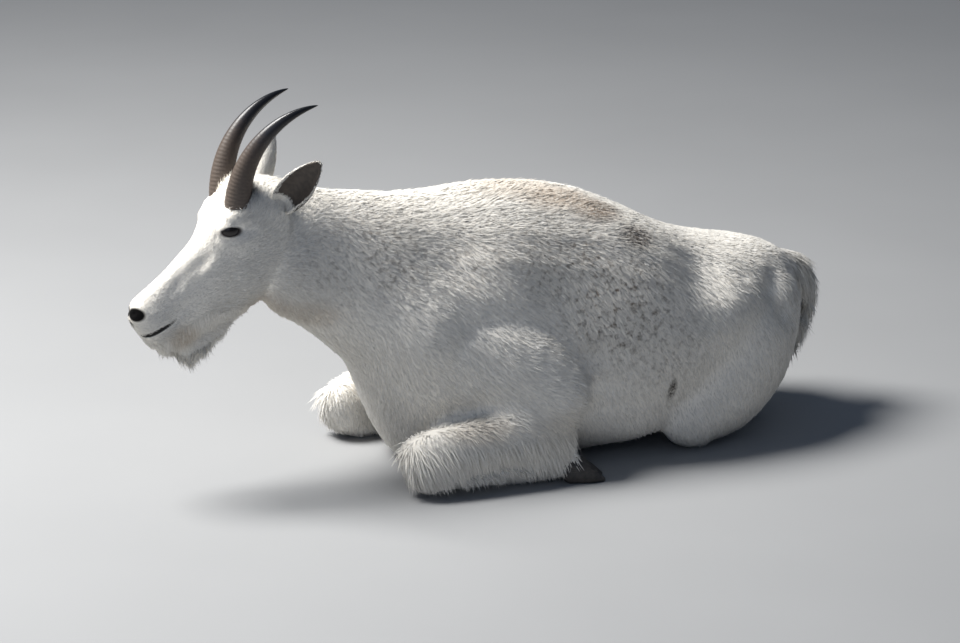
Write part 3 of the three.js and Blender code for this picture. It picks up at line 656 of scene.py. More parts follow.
# %% Smaller faces on the head
FINER = [
    # places and reach in metres of each round
    [(on_head(100, 0, 20), 0.19)],
    [(spot, 0.038) for spot in [*EYES.values(), *NOSTRILS]] + [(on_head(232, 0, 6), 0.05)],
    [(spot + Vector((0, 0.02 * side, 0)), 0.024) for side, spot in EYES.items()],
]
mesh = bmesh.new()
mesh.from_mesh(skin.data)
for places in FINER:
    near = [e for e in mesh.edges if any((e.verts[0].co - at).length < r for at, r in places)]
    bmesh.ops.subdivide_edges(mesh, edges=near, cuts=1, use_grid_fill=True)
    print("faces after subdividing", len(mesh.faces))
bmesh.ops.triangulate(mesh, faces=[f for f in mesh.faces if len(f.verts) > 4])
mesh.to_mesh(skin.data)
mesh.free()

# %% Bumps and hollows of the face
# they are summed, and the groove of the mouth, cut last, flattens what stands out,
# so a bump only softens the hollows beside it
FACE_SWELLS = [
    # along, across, up, reach along, across, up, lift in mm
    (82, 48, 36, 24, 16, 8, 4.6),
    (114, 38, 20, 24, 14, 8, 4.4),
    (142, 33, 30, 14, 12, 12, 3.6),
    (112, 36, 50, 24, 12, 12, -3.8),
    (162, 30, 46, 20, 12, 12, -3.0),
    (182, 32, 8, 22, 12, 10, -2.4),
    (38, 52, 92, 22, 14, 8, 4.0),
    (56, 50, 70, 12, 12, 12, -2.4),
    (240, 24, 62, 12, 9, 8, 2.8),
    (230, 26, 46, 9, 9, 11, 2.6),
    (250, 6, 58, 8, 5, 12, -1.4),
    (248, 22, 22, 12, 9, 8, 2.6),
    (240, 18, -6, 14, 14, 7, 2.2),
    (20, 58, -22, 36, 20, 30, 3.0),
]
WHORL = ((273, -190, 127), (6, 40, 16), 5.0)
NOSTRIL_PIT = ((7.5, 8, 4.2), 3.5)
MOUTH_WIDE, MOUTH_DEEP = 2.6, 4.2
LID = 1.5  # mm of skin over the eyeball
OPENING = 0.94  # where the skin dives behind the ball, 1 being the almond's edge


def mouth_gaps(head):
    """The distance in mm of each point from each piece of the mouth's line, on both sides."""
    line = np.array(MOUTH, float)
    for a, b in zip(line[:-1], line[1:]):
        for side in (1, -1):
            p, q = a * [1, side, 1], b * [1, side, 1]
            t = np.clip(((head - p) @ (q - p)) / ((q - p) @ (q - p)), 0, 1)
            gap = head - (p + t[:, None] * (q - p))
            yield np.hypot(np.hypot(gap[:, 0], gap[:, 2]), gap[:, 1] * 0.35)


def almond_of(head, side):
    """How far each point is from the middle of an eye opening, and whether it is on that side."""
    gap = head - [EYE["s"], side * EYE["y"], EYE["n"]]
    along = gap[:, 0] * math.cos(EYE_TILT) + gap[:, 2] * math.sin(EYE_TILT)
    up = -gap[:, 0] * math.sin(EYE_TILT) + gap[:, 2] * math.cos(EYE_TILT)
    return np.hypot(along / EYE["long"], up / EYE["high"]), gap[:, 1] * side > 0


print("swells of the face", len(FACE_SWELLS))


# %% Shape the face
def shape_face(points, normals):
    head = head_coordinates(points)
    lift = np.zeros(len(points))
    for s, y, n, reach_s, reach_y, reach_n, amount in FACE_SWELLS:
        for side in (LEFT, RIGHT):
            gap = (head - [s, side * y, n]) / [reach_s, reach_y, reach_n]
            lift += amount * np.exp(-(gap**2).sum(1))
    middle, sizes, amount = WHORL
    lift -= amount * np.exp(-(((in_mm(points) - middle) / sizes) ** 2).sum(1))
    for gap in mouth_gaps(head):
        groove = MOUTH_DEEP * np.exp(-((gap / MOUTH_WIDE) ** 2))
        lift = np.minimum(lift, lift * 0.4 - groove)
    sizes, amount = NOSTRIL_PIT
    for side in (LEFT, RIGHT):
        gap = (head - np.array(NOSTRIL) * [1, side, 1]) / sizes
        lift -= amount * np.exp(-(gap**2).sum(1) ** 1.5)
    return points + normals * lift[:, None] / 1000


def open_eyes(points):
    """Lays the skin on the eyeballs, and sinks it behind them in the openings."""
    head = head_coordinates(points)
    lid = EYE["radius"] + LID
    for side in (LEFT, RIGHT):
        centre = np.array(EYES[side])
        almond, outer = almond_of(head, side)
        ray = points - centre
        far = np.linalg.norm(ray, axis=1) * 1000
        near = np.exp(-np.clip(almond - 1, 0, 9) ** 2 * 1.2)
        pulled = np.maximum(far + (lid - far) * near, lid)
        wanted = np.where(almond < OPENING, EYE["radius"] - 3, pulled)
        use = outer & ((almond < 2.6) | (far < lid))
        points[use] = centre + ray[use] / far[use, None] * wanted[use, None]
    return points


set_points(skin.data, open_eyes(shape_face(read(skin.data, "co"), read(skin.data, "normal"))))
skin.data.materials.clear()
skin.data.materials.append(hide)
skin.data.polygons.foreach_set("use_smooth", [True] * len(skin.data.polygons))
print("skin triangles", sum(len(p.vertices) - 2 for p in skin.data.polygons))

# %% [markdown]
# ## Ears
# A goat's ear is a thin cupped leaf of gristle, white outside, with dark
# grey-brown skin in the cup and a fringe of pale hair on its rim. A flat grid is
# bent to the leaf of the solids and given its thickness, which keeps the faces
# even, and the faces of the cup get their own finish.


# %% Ears
def make_ear_lining():
    # ear skin: thin and bare, grey-brown and matt, with faint veins 8 mm apart
    material, tree, surface, vein = mottled("ear_skin", 8.33, 3.0, "#2f2a27", "#5e544b", 0.7)
    bump_up(tree, surface, vein, 0.3, 0.001)
    return material


ear_lining = make_ear_lining()
EAR = {"length": 130, "half": 26, "cup": 20, "thick": 3.0, "sunk": 6}
EAR_POSES = {"left": (LEFT, (-350, -150, 590), 0.0), "right": (RIGHT, (-323, 136, 561), -0.6)}


def ear_width(t):
    return EAR["half"] * math.sin(math.pi * min(0.16 + 0.82 * t, 0.985)) ** 0.75 * (1 - 0.12 * t)


def face_order(face):
    """Sorts faces by their corners, because solidify leaves its rim in no fixed order."""
    corners = [v.index for v in face.verts]
    return min(corners) * 10000 + max(corners)


def make_ear(name):
    side, tip, turn = EAR_POSES[name]
    root = HEAD_AT + FACE * -52 + BROW * 46 + Vector((0, side * 60, 0))
    along = (Vector(tip) - root).normalized()
    facing = Vector((-0.62, side * 0.78, -0.1))
    facing = (facing - along * facing.dot(along)).normalized()
    facing = Matrix.Rotation(turn, 3, along) @ facing
    across = along.cross(facing)
    mesh = bmesh.new()
    bmesh.ops.create_grid(mesh, x_segments=16, y_segments=30, size=1.0)
    for v in mesh.verts:
        u, t = v.co.x, (v.co.y + 1) / 2
        width = ear_width(t)
        cup = EAR["cup"] * (1 - 0.75 * t) * width / EAR["half"]
        at = root + along * (EAR["length"] * t - EAR["sunk"])
        at = at + across * width * u + facing * cup * (u * u - 0.6)
        v.co = place(*at)
    bmesh.ops.recalc_face_normals(mesh, faces=mesh.faces)
    if sum((f.normal.dot(facing) for f in mesh.faces)) < 0:
        bmesh.ops.reverse_faces(mesh, faces=mesh.faces)
    bmesh.ops.solidify(mesh, geom=mesh.faces[:], thickness=EAR["thick"] / 1000)
    bmesh.ops.recalc_face_normals(mesh, faces=mesh.faces)
    mesh.verts.index_update()
    mesh.faces.sort(key=face_order)
    made = object_from(mesh, f"ear_shape_{name}", hide, ear_lining)
    base = place(*root)
    for face in made.data.polygons:
        if face.normal.dot(facing) > 0.3 and (face.center - base).dot(along) > 0.012:
            face.material_index = 1
    print(made.name, len(made.data.polygons), "faces")
    return {"root": base, "along": along, "facing": facing, "object": made}


ears = {name: make_ear(name) for name in EAR_POSES}

# %% [markdown]
# ## Unwrap for the coat
# When the model is exported its colours are baked, and each tuft then needs a
# spot of its own on a flat map. A coarse copy of the skin is unwrapped, and the
# tufts take the place of their roots on it. The copy is removed afterwards.


# %% Unwrap a coarse copy
UNWRAP_SHARE = 0.06  # of the faces


def coarse_unwrap(made):
    whole = bmesh.new()
    for part in made:
        whole.from_mesh(part.data)
    copy = object_from(whole, "unwrap", smooth=False)
    mod = copy.modifiers.new("fewer", "DECIMATE")
    mod.ratio = UNWRAP_SHARE
    apply_modifiers(copy)
    bpy.ops.object.select_all(action="DESELECT")
    copy.select_set(True)
    bpy.context.view_layer.objects.active = copy
    bpy.ops.object.mode_set(mode="EDIT")
    bpy.ops.mesh.select_all(action="SELECT")
    bpy.ops.uv.smart_project(angle_limit=1.15, island_margin=0.004)
    bpy.ops.object.mode_set(mode="OBJECT")
    mesh = bmesh.new()
    mesh.from_mesh(copy.data)
    bmesh.ops.triangulate(mesh, faces=mesh.faces)
    layer = mesh.loops.layers.uv.active
    mesh.faces.ensure_lookup_table()
    corners = np.array([[loop.vert.co[:] for loop in f.loops] for f in mesh.faces])
    flat = np.array([[loop[layer].uv[:] for loop in f.loops] for f in mesh.faces])
    tree = BVHTree.FromBMesh(mesh)
    mesh.free()
    bpy.data.objects.remove(copy)
    return tree, corners, flat


unwrap_tree, unwrap_corners, unwrap_flat = coarse_unwrap(
    [skin] + [ear["object"] for ear in ears.values()]
)
print("faces unwrapped", len(unwrap_corners), "reach", unwrap_flat.min(), unwrap_flat.max())


def flat_place(points):
    """The place of each point on the unwrapped copy."""
    index = np.array([unwrap_tree.find_nearest(p)[2] for p in points])
    a, b, c = (unwrap_corners[index, k] for k in range(3))
    v0, v1, v2 = b - a, c - a, points - a
    d00, d01, d11 = (v0 * v0).sum(1), (v0 * v1).sum(1), (v1 * v1).sum(1)
    d20, d21 = (v2 * v0).sum(1), (v2 * v1).sum(1)
    under = np.maximum(d00 * d11 - d01 * d01, 1e-16)
    v = np.clip((d11 * d20 - d01 * d21) / under, 0, 1)
    w = np.clip((d00 * d21 - d01 * d20) / under, 0, 1)
    over = np.maximum(v + w, 1)
    v, w = v / over, w / over
    u = 1 - v - w
    flat = unwrap_flat[index]
    return u[:, None] * flat[:, 0] + v[:, None] * flat[:, 1] + w[:, None] * flat[:, 2]


# %% [markdown]
# ## Tufts
# Hair in an animation is drawn as curves, but a library model needs real
# surfaces. So each tuft is a thin closed blade with three corners at its root,
# three half way and a point at its tip. It starts under the skin, leans the way
# the coat lies and bends down to it. The blades overlap like thatch.

# %% One tuft
SEED = 7
TUFT_FACES = [(3, 4, 1, 0), (4, 5, 2, 1), (5, 3, 0, 2), (6, 4, 3), (6, 5, 4), (6, 3, 5), (0, 1, 2)]
UNDER = np.array([face in (TUFT_FACES[0], TUFT_FACES[3]) for face in TUFT_FACES for v in face])
CORNERS = np.array([v for face in TUFT_FACES for v in face])
SIZES = np.array([len(face) for face in TUFT_FACES])
LOW = np.array(cad_box[0]) + [0.0006, 0.0006, 0.0004]
HIGH = np.array(cad_box[1]) - 0.0006
PATCH_SIZE = 0.003  # of the flat map, one patch for each tuft
PATCH = np.array([[0, 0], [1, 0], [0.5, 0.4], [0.1, 0.7], [0.9, 0.7], [0.5, 0.9], [0.5, 1]])
PATCH = PATCH * PATCH_SIZE
ALONG = [0, 0, 0.1, 0.6, 0.6, 0.6, 1.0]  # how far up the tuft each corner is
print("faces of a tuft", len(TUFT_FACES), "corners", len(CORNERS))


# %% Roots of the tufts


def scatter(data, per_square_metre, seed, keep=None):
    """Even random places on a mesh, with the normal at each."""
    random = np.random.default_rng(seed)
    data.calc_loop_triangles()
    count = len(data.loop_triangles)
    corners = np.empty(count * 3, int)
    data.loop_triangles.foreach_get("vertices", corners)
    corners = corners.reshape(-1, 3)
    points, normals = read(data, "co"), read(data, "normal")
    tri = points[corners]
    area = np.linalg.norm(np.cross(tri[:, 1] - tri[:, 0], tri[:, 2] - tri[:, 0]), axis=1) / 2
    weight = area * per_square_metre(tri.mean(1))
    number = int(weight.sum())
    steps = (np.arange(number) + random.random(number)) / number * weight.sum()
    face = np.minimum(np.searchsorted(np.cumsum(weight), steps), count - 1)
    r = np.sqrt(random.random(number))
    s = random.random(number)
    bary = np.stack([1 - r, r * (1 - s), r * s], 1)[:, :, None]
    roots = (points[corners[face]] * bary).sum(1)
    outward = (normals[corners[face]] * bary).sum(1)
    outward /= np.linalg.norm(outward, axis=1, keepdims=True) + 1e-9
    good = np.ones(number, bool) if keep is None else keep(roots, outward)
    return roots[good], outward[good]


print("box of the tufts", LOW.round(3), HIGH.round(3))


# %% Way and corners of the tufts
def wander(points, size, seed):
    """A smooth random direction field with waves of about the given size in metres."""
    random = np.random.default_rng(seed)
    field = np.zeros_like(points)
    for _ in range(10):
        wave = random.normal(size=(3,)) / size
        phase = random.random() * 6.28
        field += np.sin(points @ wave * 2 + phase)[:, None] * random.normal(size=3)
    return field / 4


def leaning(roots, outward, way, seed, random):
    """The way of each tuft: the lie of the coat with soft waves and a little disorder."""
    way = way + wander(roots, 0.05, seed + 1) * 0.14 + wander(roots, 0.012, seed + 2) * 0.1
    way = way + random.normal(size=way.shape) * 0.1
    way = way - outward * (way * outward).sum(1, keepdims=True)
    return way / (np.linalg.norm(way, axis=1, keepdims=True) + 1e-9)


def tuft_corners(roots, outward, way, length, width, lift, droop, sink, random):
    """Seven corners for each tuft: three at its root, three half way and its tip."""
    number = len(roots)
    across = np.cross(way, outward)
    length = (length * random.uniform(0.7, 1.25, number))[:, None]
    width = (width * random.uniform(0.75, 1.2, number))[:, None]
    lift = (lift * random.uniform(0.6, 1.4, number))[:, None]
    start = roots - outward * sink
    middle = roots + way * length * 0.5 + outward * length * lift * 0.62
    tip = roots + way * length + outward * length * lift * 0.85
    tip[:, 2] -= droop * length[:, 0]
    middle[:, 2] -= droop * 0.3 * length[:, 0]
    tip += random.normal(size=(number, 3)) * length * 0.05
    thick = width * 0.45
    rows = [
        start - across * width * 0.5,
        start + across * width * 0.5,
        start + outward * thick,
        middle - across * width * 0.42,
        middle + across * width * 0.42,
        middle + outward * thick,
        tip,
    ]
    return np.clip(np.stack(rows, 1), LOW, HIGH)


print("a wave at the nose", wander(np.array([on_head(250, 0, 50)]), 0.05, SEED).round(2))


# %% One piece from many roots
def tuft_mesh(name, points):
    """A mesh from the corners of all tufts, seven for each."""
    number = len(points)
    data = bpy.data.meshes.new(name)
    data.vertices.add(number * 7)
    data.vertices.foreach_set("co", points.astype(np.float32).ravel())
    corner = (CORNERS[None] + np.arange(number)[:, None] * 7).ravel()
    data.loops.add(len(corner))
    data.loops.foreach_set("vertex_index", corner.astype(np.int32))
    sizes = np.tile(SIZES, number)
    data.polygons.add(len(sizes))
    data.polygons.foreach_set("loop_start", (np.cumsum(sizes) - sizes).astype(np.int32))
    data.polygons.foreach_set("use_smooth", np.ones(len(sizes), bool))
    return data


def tufts(name, roots, outward, way, length, width, lift, seed, material, droop=0.0, sink=0.0015):
    """One piece of closed tufts. Sizes are in metres, one for each root."""
    random = np.random.default_rng(seed)
    number = len(roots)
    way = leaning(roots, outward, way, seed, random)
    points = tuft_corners(roots, outward, way, length, width, lift, droop, sink, random)
    data = tuft_mesh(name, points)
    layer = data.uv_layers.new(name="OFBake")
    spots = flat_place(roots)[:, None, :] + PATCH[None] - PATCH_SIZE / 2
    spots = np.clip(spots, 0.0005, 0.9995)
    layer.data.foreach_set("uv", spots[:, CORNERS].astype(np.float32).ravel())
    along = data.attributes.new("along", "FLOAT", "POINT")
    along.data.foreach_set("value", np.tile(ALONG, number).astype(np.float32))
    tone = data.attributes.new("tone", "FLOAT", "POINT")
    shade = random.normal(0.97, 0.06, number).clip(0.78, 1.06)
    tone.data.foreach_set("value", np.repeat(shade, 7).astype(np.float32))
    data.materials.append(material)
    data.update()
    data.validate()
    # the tufts take most of their shading from the skin, so the coat reads as one surface
    soft = outward + random.normal(size=(number, 3)) * 0.1 + way * 0.1
    soft /= np.linalg.norm(soft, axis=1, keepdims=True)
    shown = np.where(UNDER, -1.0, 1.0)[None, :, None] * soft[:, None, :]
    data.normals_split_custom_set(shown.reshape(-1, 3).astype(np.float32))
    print(name, number, "tufts", number * 10, "triangles")
    return object_of(data)


# %% [markdown]
# ## The short coat
# Roots are scattered evenly over the skin, closer together on the face, where
# the hair is finest. None grow on the nose leather, in the mouth, on the
# eyeballs or where the goat rests on the floor. The coat is cut into pieces by
# place, so that no mesh is too heavy.


# %% Scatter the short coat
BODY_TUFTS, FACE_TUFTS = 76000.0, 140000.0  # for each square metre, the second on top
BARE_NOSTRIL = np.array([21, 20, 13.5])
BARE_MOUTH = 3.9
BARE_LID = 1.12
REST = 0.004  # metres of flattened coat above the floor


def density(points):
    head = head_coordinates(points)
    inside = np.clip((head[:, 0] + 70) / 60, 0, 1) * np.clip((head[:, 2] + 150) / 30, 0, 1)
    return BODY_TUFTS + inside * FACE_TUFTS


def haired(roots, outward):
    head = head_coordinates(roots)
    good = roots[:, 2] > REST
    for spot in NOSTRILS:
        gap = (roots - np.array(spot)) * 1000 / BARE_NOSTRIL
        good &= (gap**2).sum(1) > 1
    for side in (LEFT, RIGHT):
        almond, outer = almond_of(head, side)
        good &= (almond > BARE_LID) | ~outer
    for gap in mouth_gaps(head):
        good &= gap > BARE_MOUTH
    return good


roots, outward = scatter(skin.data, density, SEED, haired)
way, sizes = lie_of(roots)
head = head_coordinates(roots)
head_s = np.where(head[:, 2] > -150, head[:, 0], -100)
print("roots", len(roots))

# %% Cut the coat by place
x = roots[:, 0]
left = roots[:, 1] < place(0, 0, 0)[1]
body = head_s <= -20
BANDS = [
    # name, from and to along the body in metres
    ("chest", -0.21, -0.06), ("shoulder", -0.06, 0.14), ("barrel", 0.14, 0.36), ("rump", 0.36, 1.0),
]
regions = {
    "coat_muzzle": head_s > 105,
    "coat_face": ~body & (head_s <= 105),
    "coat_neck": body & (x < BANDS[0][1]),
}
for name, start, end in BANDS:
    for side, chosen in (("left", left), ("right", ~left)):
        regions[f"coat_{name}_{side}"] = body & (x >= start) & (x < end) & chosen
coat = [
    tufts(
        name, roots[chosen], outward[chosen], way[chosen], sizes[chosen, 0] / 1000,
        sizes[chosen, 1] / 1000, sizes[chosen, 2], SEED + 10 * turn, coat_hair,
    )
    for turn, (name, chosen) in enumerate(regions.items())
]
print("coat pieces", len(coat))

# %% [markdown]
# ## Beard and long hair
# The beard of a young summer coat is short and soft. It hangs from the chin and
# the jaw. The lower forelegs have a skirt of longer hair, and the tail is a
# tassel. These tufts are longer, so they also droop with their own weight.


# %% Beard, skirts and tail
def beard_area(points):
    head = head_coordinates(points)
    inside = (head[:, 0] > 88) & (head[:, 0] < 246) & (head[:, 2] < -18 - 0.1 * (200 - head[:, 0]))
    return np.where(inside & (np.abs(head[:, 1]) < 30), 520000.0, 0.0)


def skirt_area(points):
    mm = in_mm(points)
    inside = (mm[:, 0] > -215) & (mm[:, 0] < 92) & (np.abs(mm[:, 1]) > 160)
    return np.where(inside & (mm[:, 2] < 96) & (mm[:, 2] > 4), 60000.0, 0.0)


def tail_area(points):
    mm = in_mm(points)
    return np.where((mm[:, 0] > 596) & (mm[:, 2] > 110), 130000.0, 0.0)


spots, out = scatter(skin.data, beard_area, 31, haired)
head = head_coordinates(spots)
forward = np.clip((head[:, 0] - 88) / 120, 0, 1)
hang = np.tile([0.3, 0.0, -1.0], (len(spots), 1))
hang[:, 1] = -head[:, 1] / 70
beard = tufts(
    "beard_hair", spots, out, hang, 0.016 + 0.011 * forward, np.full(len(spots), 0.0015),
    np.full(len(spots), 0.18), 41, long_hair, droop=0.15,
)
spots, out = scatter(skin.data, skirt_area, 32, haired)
hang = np.tile([0.42, 0.0, -1.0], (len(spots), 1))
reach = np.clip(spots[:, 2] * 1000 / 60, 0.3, 1.0)
skirts = tufts(
    "foreleg_hair", spots, out, hang, 0.036 * reach, np.full(len(spots), 0.0019),
    np.full(len(spots), 0.2), 43, long_hair, droop=0.12,
)
spots, out = scatter(skin.data, tail_area, 33, haired)
hang = np.tile([0.05, 0.0, -1.0], (len(spots), 1))
tail_hair = tufts(
    "tail_hair", spots, out, hang, np.full(len(spots), 0.034), np.full(len(spots), 0.002),
    np.full(len(spots), 0.28), 44, long_hair, droop=0.1,
)

# %% [markdown]
# ## Hair of the ears
# The back of each ear has short flat hair, and the rim carries a pale fringe
# that reaches over the dark cup.

# %% Ear hair
ear_hair = []
for name, ear in ears.items():
    data = ear["object"].data
    spots, out = scatter(data, lambda p: np.full(len(p), 260000.0), 60)
    root, along, facing = (np.array(ear[k]) for k in ("root", "along", "facing"))
    up = (spots - root) @ along
    inner = (out @ facing > 0.35) & (up > 0.012)
    aside = np.cross(along, facing)
    edge = np.abs((spots - root) @ aside)
    wide = np.array([ear_width(min(max(u * 1000 / EAR["length"], 0), 1)) for u in up]) / 1000
    keep = ~inner | (edge > wide * 0.92)
    spots, out, inner, up = spots[keep], out[keep], inner[keep], up[keep]
    lean = np.tile(along, (len(spots), 1)) + 0.2 * out
    size = np.where(inner, 0.006, 0.0065)
    piece = tufts(
        f"ear_hair_{name}", spots, out, lean, size, np.full(len(spots), 0.0011),
        np.where(inner, 0.3, 0.12), 61, coat_hair, sink=0.0004,
    )
    ear_hair.append(piece)

# %% [markdown]
# ## Horns
# Both sexes have slim black horns of keratin over a bony core. They curve
# evenly back. The lower half is grey-brown with fine rings, one bunch for each
# winter, and the end is smooth and glossy. A circle is extruded in small
# turns along the curve of the solid horn, and each ring is scaled a little.


# %% Horn material
STREAK = 4.167  # mm between the streaks


def make_horn_keratin():
    # keratin: brown and dull with fine streaks where it is old at the foot, black and
    # polished at the end, so only the tip has a sharp highlight
    material, tree, surface = new_material("horn_keratin")
    where = add(tree, "TexCoord").outputs["Object"]
    grown = add(tree, "Attribute", {"attribute_name": "grown"}).outputs["Fac"]
    streak = add(tree, "TexNoise", Vector=where, Scale=per_mm(STREAK), Detail=3.0).outputs[0]
    age = add(tree, "Math", {"operation": "MULTIPLY_ADD"}, i0=streak, i1=0.25, i2=grown).outputs[0]
    stops = [(0.08, "#63584f"), (0.95, "#101217"), (0.5, "#4c4139"), (0.72, "#232226")]
    ramp = add(tree, "ValToRGB", stops=stops, Fac=age)
    tree.links.new(ramp.outputs[0], surface.inputs["Base Color"])
    rough = add(tree, "MapRange", Value=grown, From_Min=0.3, From_Max=0.8, To_Min=0.6, To_Max=0.28)
    tree.links.new(rough.outputs[0], surface.inputs["Roughness"])
    bump_up(tree, surface, streak, 0.25, 0.0008)
    return material


horn_keratin = make_horn_keratin()
print(horn_keratin.name)

# %% Horn shape
HORN = {"length": 212, "along": 47, "across": 40, "start": 92, "end": 9, "splay": 0.13, "sunk": 16}
HORN_APART = 36
HORN_TURNS = 220
HORN_RINGS = 24


def make_horn(side, name):
    mesh = bmesh.new()
    grown = mesh.verts.layers.float.new("grown")
    at = Vector(HEAD_AT + FACE * -8 + BROW * 98)
    at.y = side * HORN_APART
    step = (HORN["length"] + HORN["sunk"]) / HORN_TURNS
    ring = bmesh.ops.create_circle(mesh, segments=28, radius=1.0, cap_ends=True)["verts"]
    edges = mesh.edges[:]
    previous = None
    for turn in range(HORN_TURNS):
        t = turn / HORN_TURNS
        angle = math.radians(HORN["start"] + (HORN["end"] - HORN["start"]) * t)
        forward = Vector((math.cos(angle), side * HORN["splay"], math.sin(angle))).normalized()
        if turn == 0:
            at -= forward * HORN["sunk"]
        taper = (1 - t) ** 0.66 * (1 - 0.12 * t)
        wave = math.sin(t * 2 * math.pi * HORN_RINGS / 0.62)
        ringed = 1 + (0.011 * wave - 0.004) * max(0.0, 1 - t / 0.6) ** 0.7
        over = Vector((0, 1, 0)).cross(forward).normalized()
        side_way = forward.cross(over)
        if turn:
            made = bmesh.ops.extrude_edge_only(mesh, edges=edges)["geom"]
            ring = [g for g in made if isinstance(g, bmesh.types.BMVert)]
            edges = [g for g in made if isinstance(g, bmesh.types.BMEdge)]
            bmesh.ops.transform(mesh, matrix=previous.inverted(), verts=ring)
        shape = Matrix((
            (*(over * HORN["along"] / 2 * taper * ringed), 0),
            (*(side_way * HORN["across"] / 2 * taper * ringed), 0),
            (*forward, 0),
            (0, 0, 0, 1),
        )).transposed()
        shape.translation = at
        bmesh.ops.transform(mesh, matrix=shape, verts=ring)
        for v in ring:
            v[grown] = t
        previous = shape
        at = at + forward * step
    bmesh.ops.pointmerge(mesh, verts=ring, merge_co=at)
    end = place(*at)
    for v in mesh.verts:
        v.co = place(*v.co)
        if (v.co - end).length < 1e-5:
            v[grown] = 1.0
    bmesh.ops.recalc_face_normals(mesh, faces=mesh.faces)
    return object_from(mesh, f"horn_keratin_{name}", horn_keratin)


horns = {name: make_horn(side, name) for name, side in SIDES.items()}
print("horn faces", [len(h.data.polygons) for h in horns.values()])

# %% [markdown]
# ## Eyes
# A goat's eye is large, dark brown and wet, with a flat dark pupil across it.
# From this far it reads as one dark glossy almond. A round ball sits in
# the socket of the solid, and a rim of bare dark skin runs round the opening.


# %% Eye materials
def make_eye_wet():
    # eyeball: a wet clear cornea over a nearly black iris, so it is dark with one
    # small sharp glint
    material, tree, surface, _ = mottled("wet_eye", 2.0, 2.0, "#0b0705", "#1f130c", 0.25)
    surface.inputs["Specular IOR Level"].default_value = 0.3
    surface.inputs["Coat Weight"].default_value = 0.5
    surface.inputs["Coat Roughness"].default_value = 0.03
    return material


def make_rim_skin():
    # lid margin: bare, moist black-brown skin with fine creases, half glossy
    material, tree, surface, crease = mottled("dark_rim_skin", 1.67, 2.0, "#171312", "#3a302b", 0.5)
    bump_up(tree, surface, crease, 0.3, 0.0005)
    return material


wet_eye, rim_skin = make_eye_wet(), make_rim_skin()
print(wet_eye.name, rim_skin.name)


# %% Eyeballs and rims
def make_eye(side, name):
    mesh = bmesh.new()
    bmesh.ops.create_uvsphere(mesh, u_segments=40, v_segments=24, radius=EYE["radius"] / 1000)
    bmesh.ops.translate(mesh, verts=mesh.verts, vec=EYES[side])
    return object_from(mesh, f"eyeball_{name}", wet_eye)


def make_rim(side, name):
    """A thin closed tube of skin along the almond between the lids."""
    mesh = bmesh.new()
    steps, around = 40, 10
    cos, sin = math.cos(EYE_TILT), math.sin(EYE_TILT)
    rings = []
    for i in range(steps):
        a = 2 * math.pi * i / steps
        along = EYE["long"] * 0.97 * math.cos(a)
        up = EYE["high"] * 0.97 * math.sin(a) * abs(math.sin(a)) ** 0.35
        s, n = along * cos - up * sin, along * sin + up * cos
        deep = math.sqrt(max((EYE["radius"] + 0.3) ** 2 - s * s - n * n, 1))
        centre = on_head(EYE["s"] + s, side * (EYE["y"] + deep), EYE["n"] + n)
        ring = bmesh.ops.create_circle(mesh, segments=around, radius=0.0010)["verts"]
        next_s, next_n = -EYE["long"] * math.sin(a), EYE["high"] * math.cos(a)
        tangent = head_way(next_s * cos - next_n * sin, 0, next_s * sin + next_n * cos)
        turn = tangent.to_track_quat("Z", "Y").to_matrix().to_4x4()
        bmesh.ops.transform(mesh, matrix=Matrix.Translation(centre) @ turn, verts=ring)
        rings.append(list(dict.fromkeys(e for v in ring for e in v.link_edges)))
    for i in range(steps):
        bmesh.ops.bridge_loops(mesh, edges=rings[i] + rings[(i + 1) % steps])
    bmesh.ops.recalc_face_normals(mesh, faces=mesh.faces)
    return object_from(mesh, f"eye_rim_{name}", rim_skin)


eyeballs = {name: make_eye(side, name) for name, side in SIDES.items()}
rims = [make_rim(side, name) for name, side in SIDES.items()]
print("rim faces", [len(rim.data.polygons) for rim in rims])

# %% [markdown]
# ## Hooves
# Each foot has two claws of dark horn with a rubbery pad beneath. The solid claws
# are right in size but faceted, so copies of them are rebuilt evenly and
# smoothed, and the finish adds growth lines and scuffs.


# %% Hooves
GROWTH_LINES = 3.49  # mm apart
WAVES = math.pi / 10  # a wave texture has 10 / pi bands where a noise has one grain


def make_hoof_horn():
    # hoof horn: hard, dry and scuffed grey-black, with growth lines that catch the light
    material, tree, surface, _ = mottled("hoof_horn", 6.67, 4.0, "#1c1b1b", "#55504b", 0.55)
    where = add(tree, "TexCoord").outputs["Object"]
    lines = add(
        tree, "TexWave", {"bands_direction": "Z"},
        Vector=where, Scale=per_mm(GROWTH_LINES) * WAVES, Distortion=3.0,
    )
    bump_up(tree, surface, lines.outputs[1], 0.3, 0.0008)
    return material


hoof_horn = make_hoof_horn()
hooves = []
for name in [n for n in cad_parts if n.startswith("hoof_")]:
    made = merged_copy([name], name.replace("hoof", "claw"))
    rebuild(made, HOOF_CUBE)
    smooth_skin(made, 3)
    made.data.materials.clear()
    made.data.materials.append(hoof_horn)
    made.data.polygons.foreach_set("use_smooth", [True] * len(made.data.polygons))
    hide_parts(name)
    hooves.append(made)
print("claws", len(hooves))

# %% [markdown]
# ## Join and attach
# The ears become part of the skin, so that one piece stands for all the flesh.
# Every piece rides on the model's one body, and the solids it replaces are hidden.

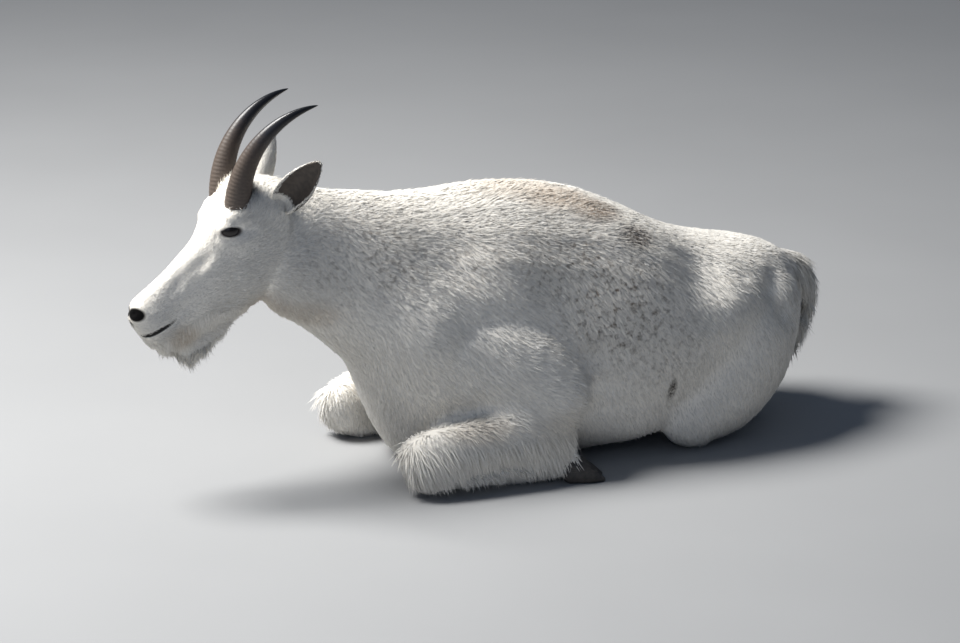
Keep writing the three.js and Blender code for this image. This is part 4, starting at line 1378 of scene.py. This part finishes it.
# %% Ride and replace
bpy.ops.object.select_all(action="DESELECT")
for ear in ears.values():
    ear["object"].select_set(True)
skin.select_set(True)
bpy.context.view_layer.objects.active = skin
bpy.ops.object.join()
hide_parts(*FLESH, "ear_left", "ear_right")
for name in SIDES:
    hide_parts(f"horn_{name}")
    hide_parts(f"eye_{name}")
dressed = [skin, beard, skirts, tail_hair, *coat, *ear_hair, *rims, *horns.values()]
dressed += [*eyeballs.values(), *hooves]
for piece in dressed:
    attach(piece, "root")
pieces = {o.name: sum(len(p.vertices) - 2 for p in o.data.polygons) for o in dressed}
print("triangles", sum(pieces.values()), pieces)

# %% [markdown]
# ## Floor and light
# A museum photographs such a model on a plain pale floor. One soft light hangs
# high up, a little in front of the goat and behind it as the camera sees it, so
# that the back, the brow and the shoulder are bright as under a high sun. A weak
# wide one keeps the near side readable.


# %% Floor and lights
def make_floor():
    # painted screed: even, pale and matt, with the faintest clouds half a metre wide
    material = mottled("pale_floor", 500.0, 2.0, "#939495", "#9a9b9c", 0.8)[0]
    mesh = bmesh.new()
    bmesh.ops.create_grid(mesh, x_segments=1, y_segments=1, size=30.0)
    floor = object_from(mesh, "floor", material, smooth=False)
    return floor


LIGHTS = [
    # name, place, size, watts, colour
    ("key", (-1.9, 0.95, 3.6), 2.0, 385, "#fffdfa"),
    ("fill", (-2.4, -3.6, 2.0), 3.0, 16, "#d6e5ff"),
]


def set_light(name, where, size, watts, colour):
    data = bpy.data.lights.new(name, "AREA")
    data.shape, data.size, data.energy = "DISK", size, watts
    data.color = linear(colour)[:3]
    light = object_of(data)
    light.location = where
    light.rotation_euler = (Vector(where) - place(0, 0, 200)).to_track_quat("Z", "Y").to_euler()
    return light


make_floor()
for row in LIGHTS:
    set_light(*row)
print("lights", len(LIGHTS))

# %% Light from all round
AROUND, AROUND_STRENGTH = "#bdd2f2", 0.16
world = bpy.data.worlds.new("studio")
bpy.context.scene.world = world
world.use_nodes = True
background = world.node_tree.nodes["Background"]
background.inputs[0].default_value = linear(AROUND)
background.inputs[1].default_value = AROUND_STRENGTH
view = bpy.context.scene.view_settings
view.view_transform, view.look = "Standard", "None"
print("world", AROUND, AROUND_STRENGTH)
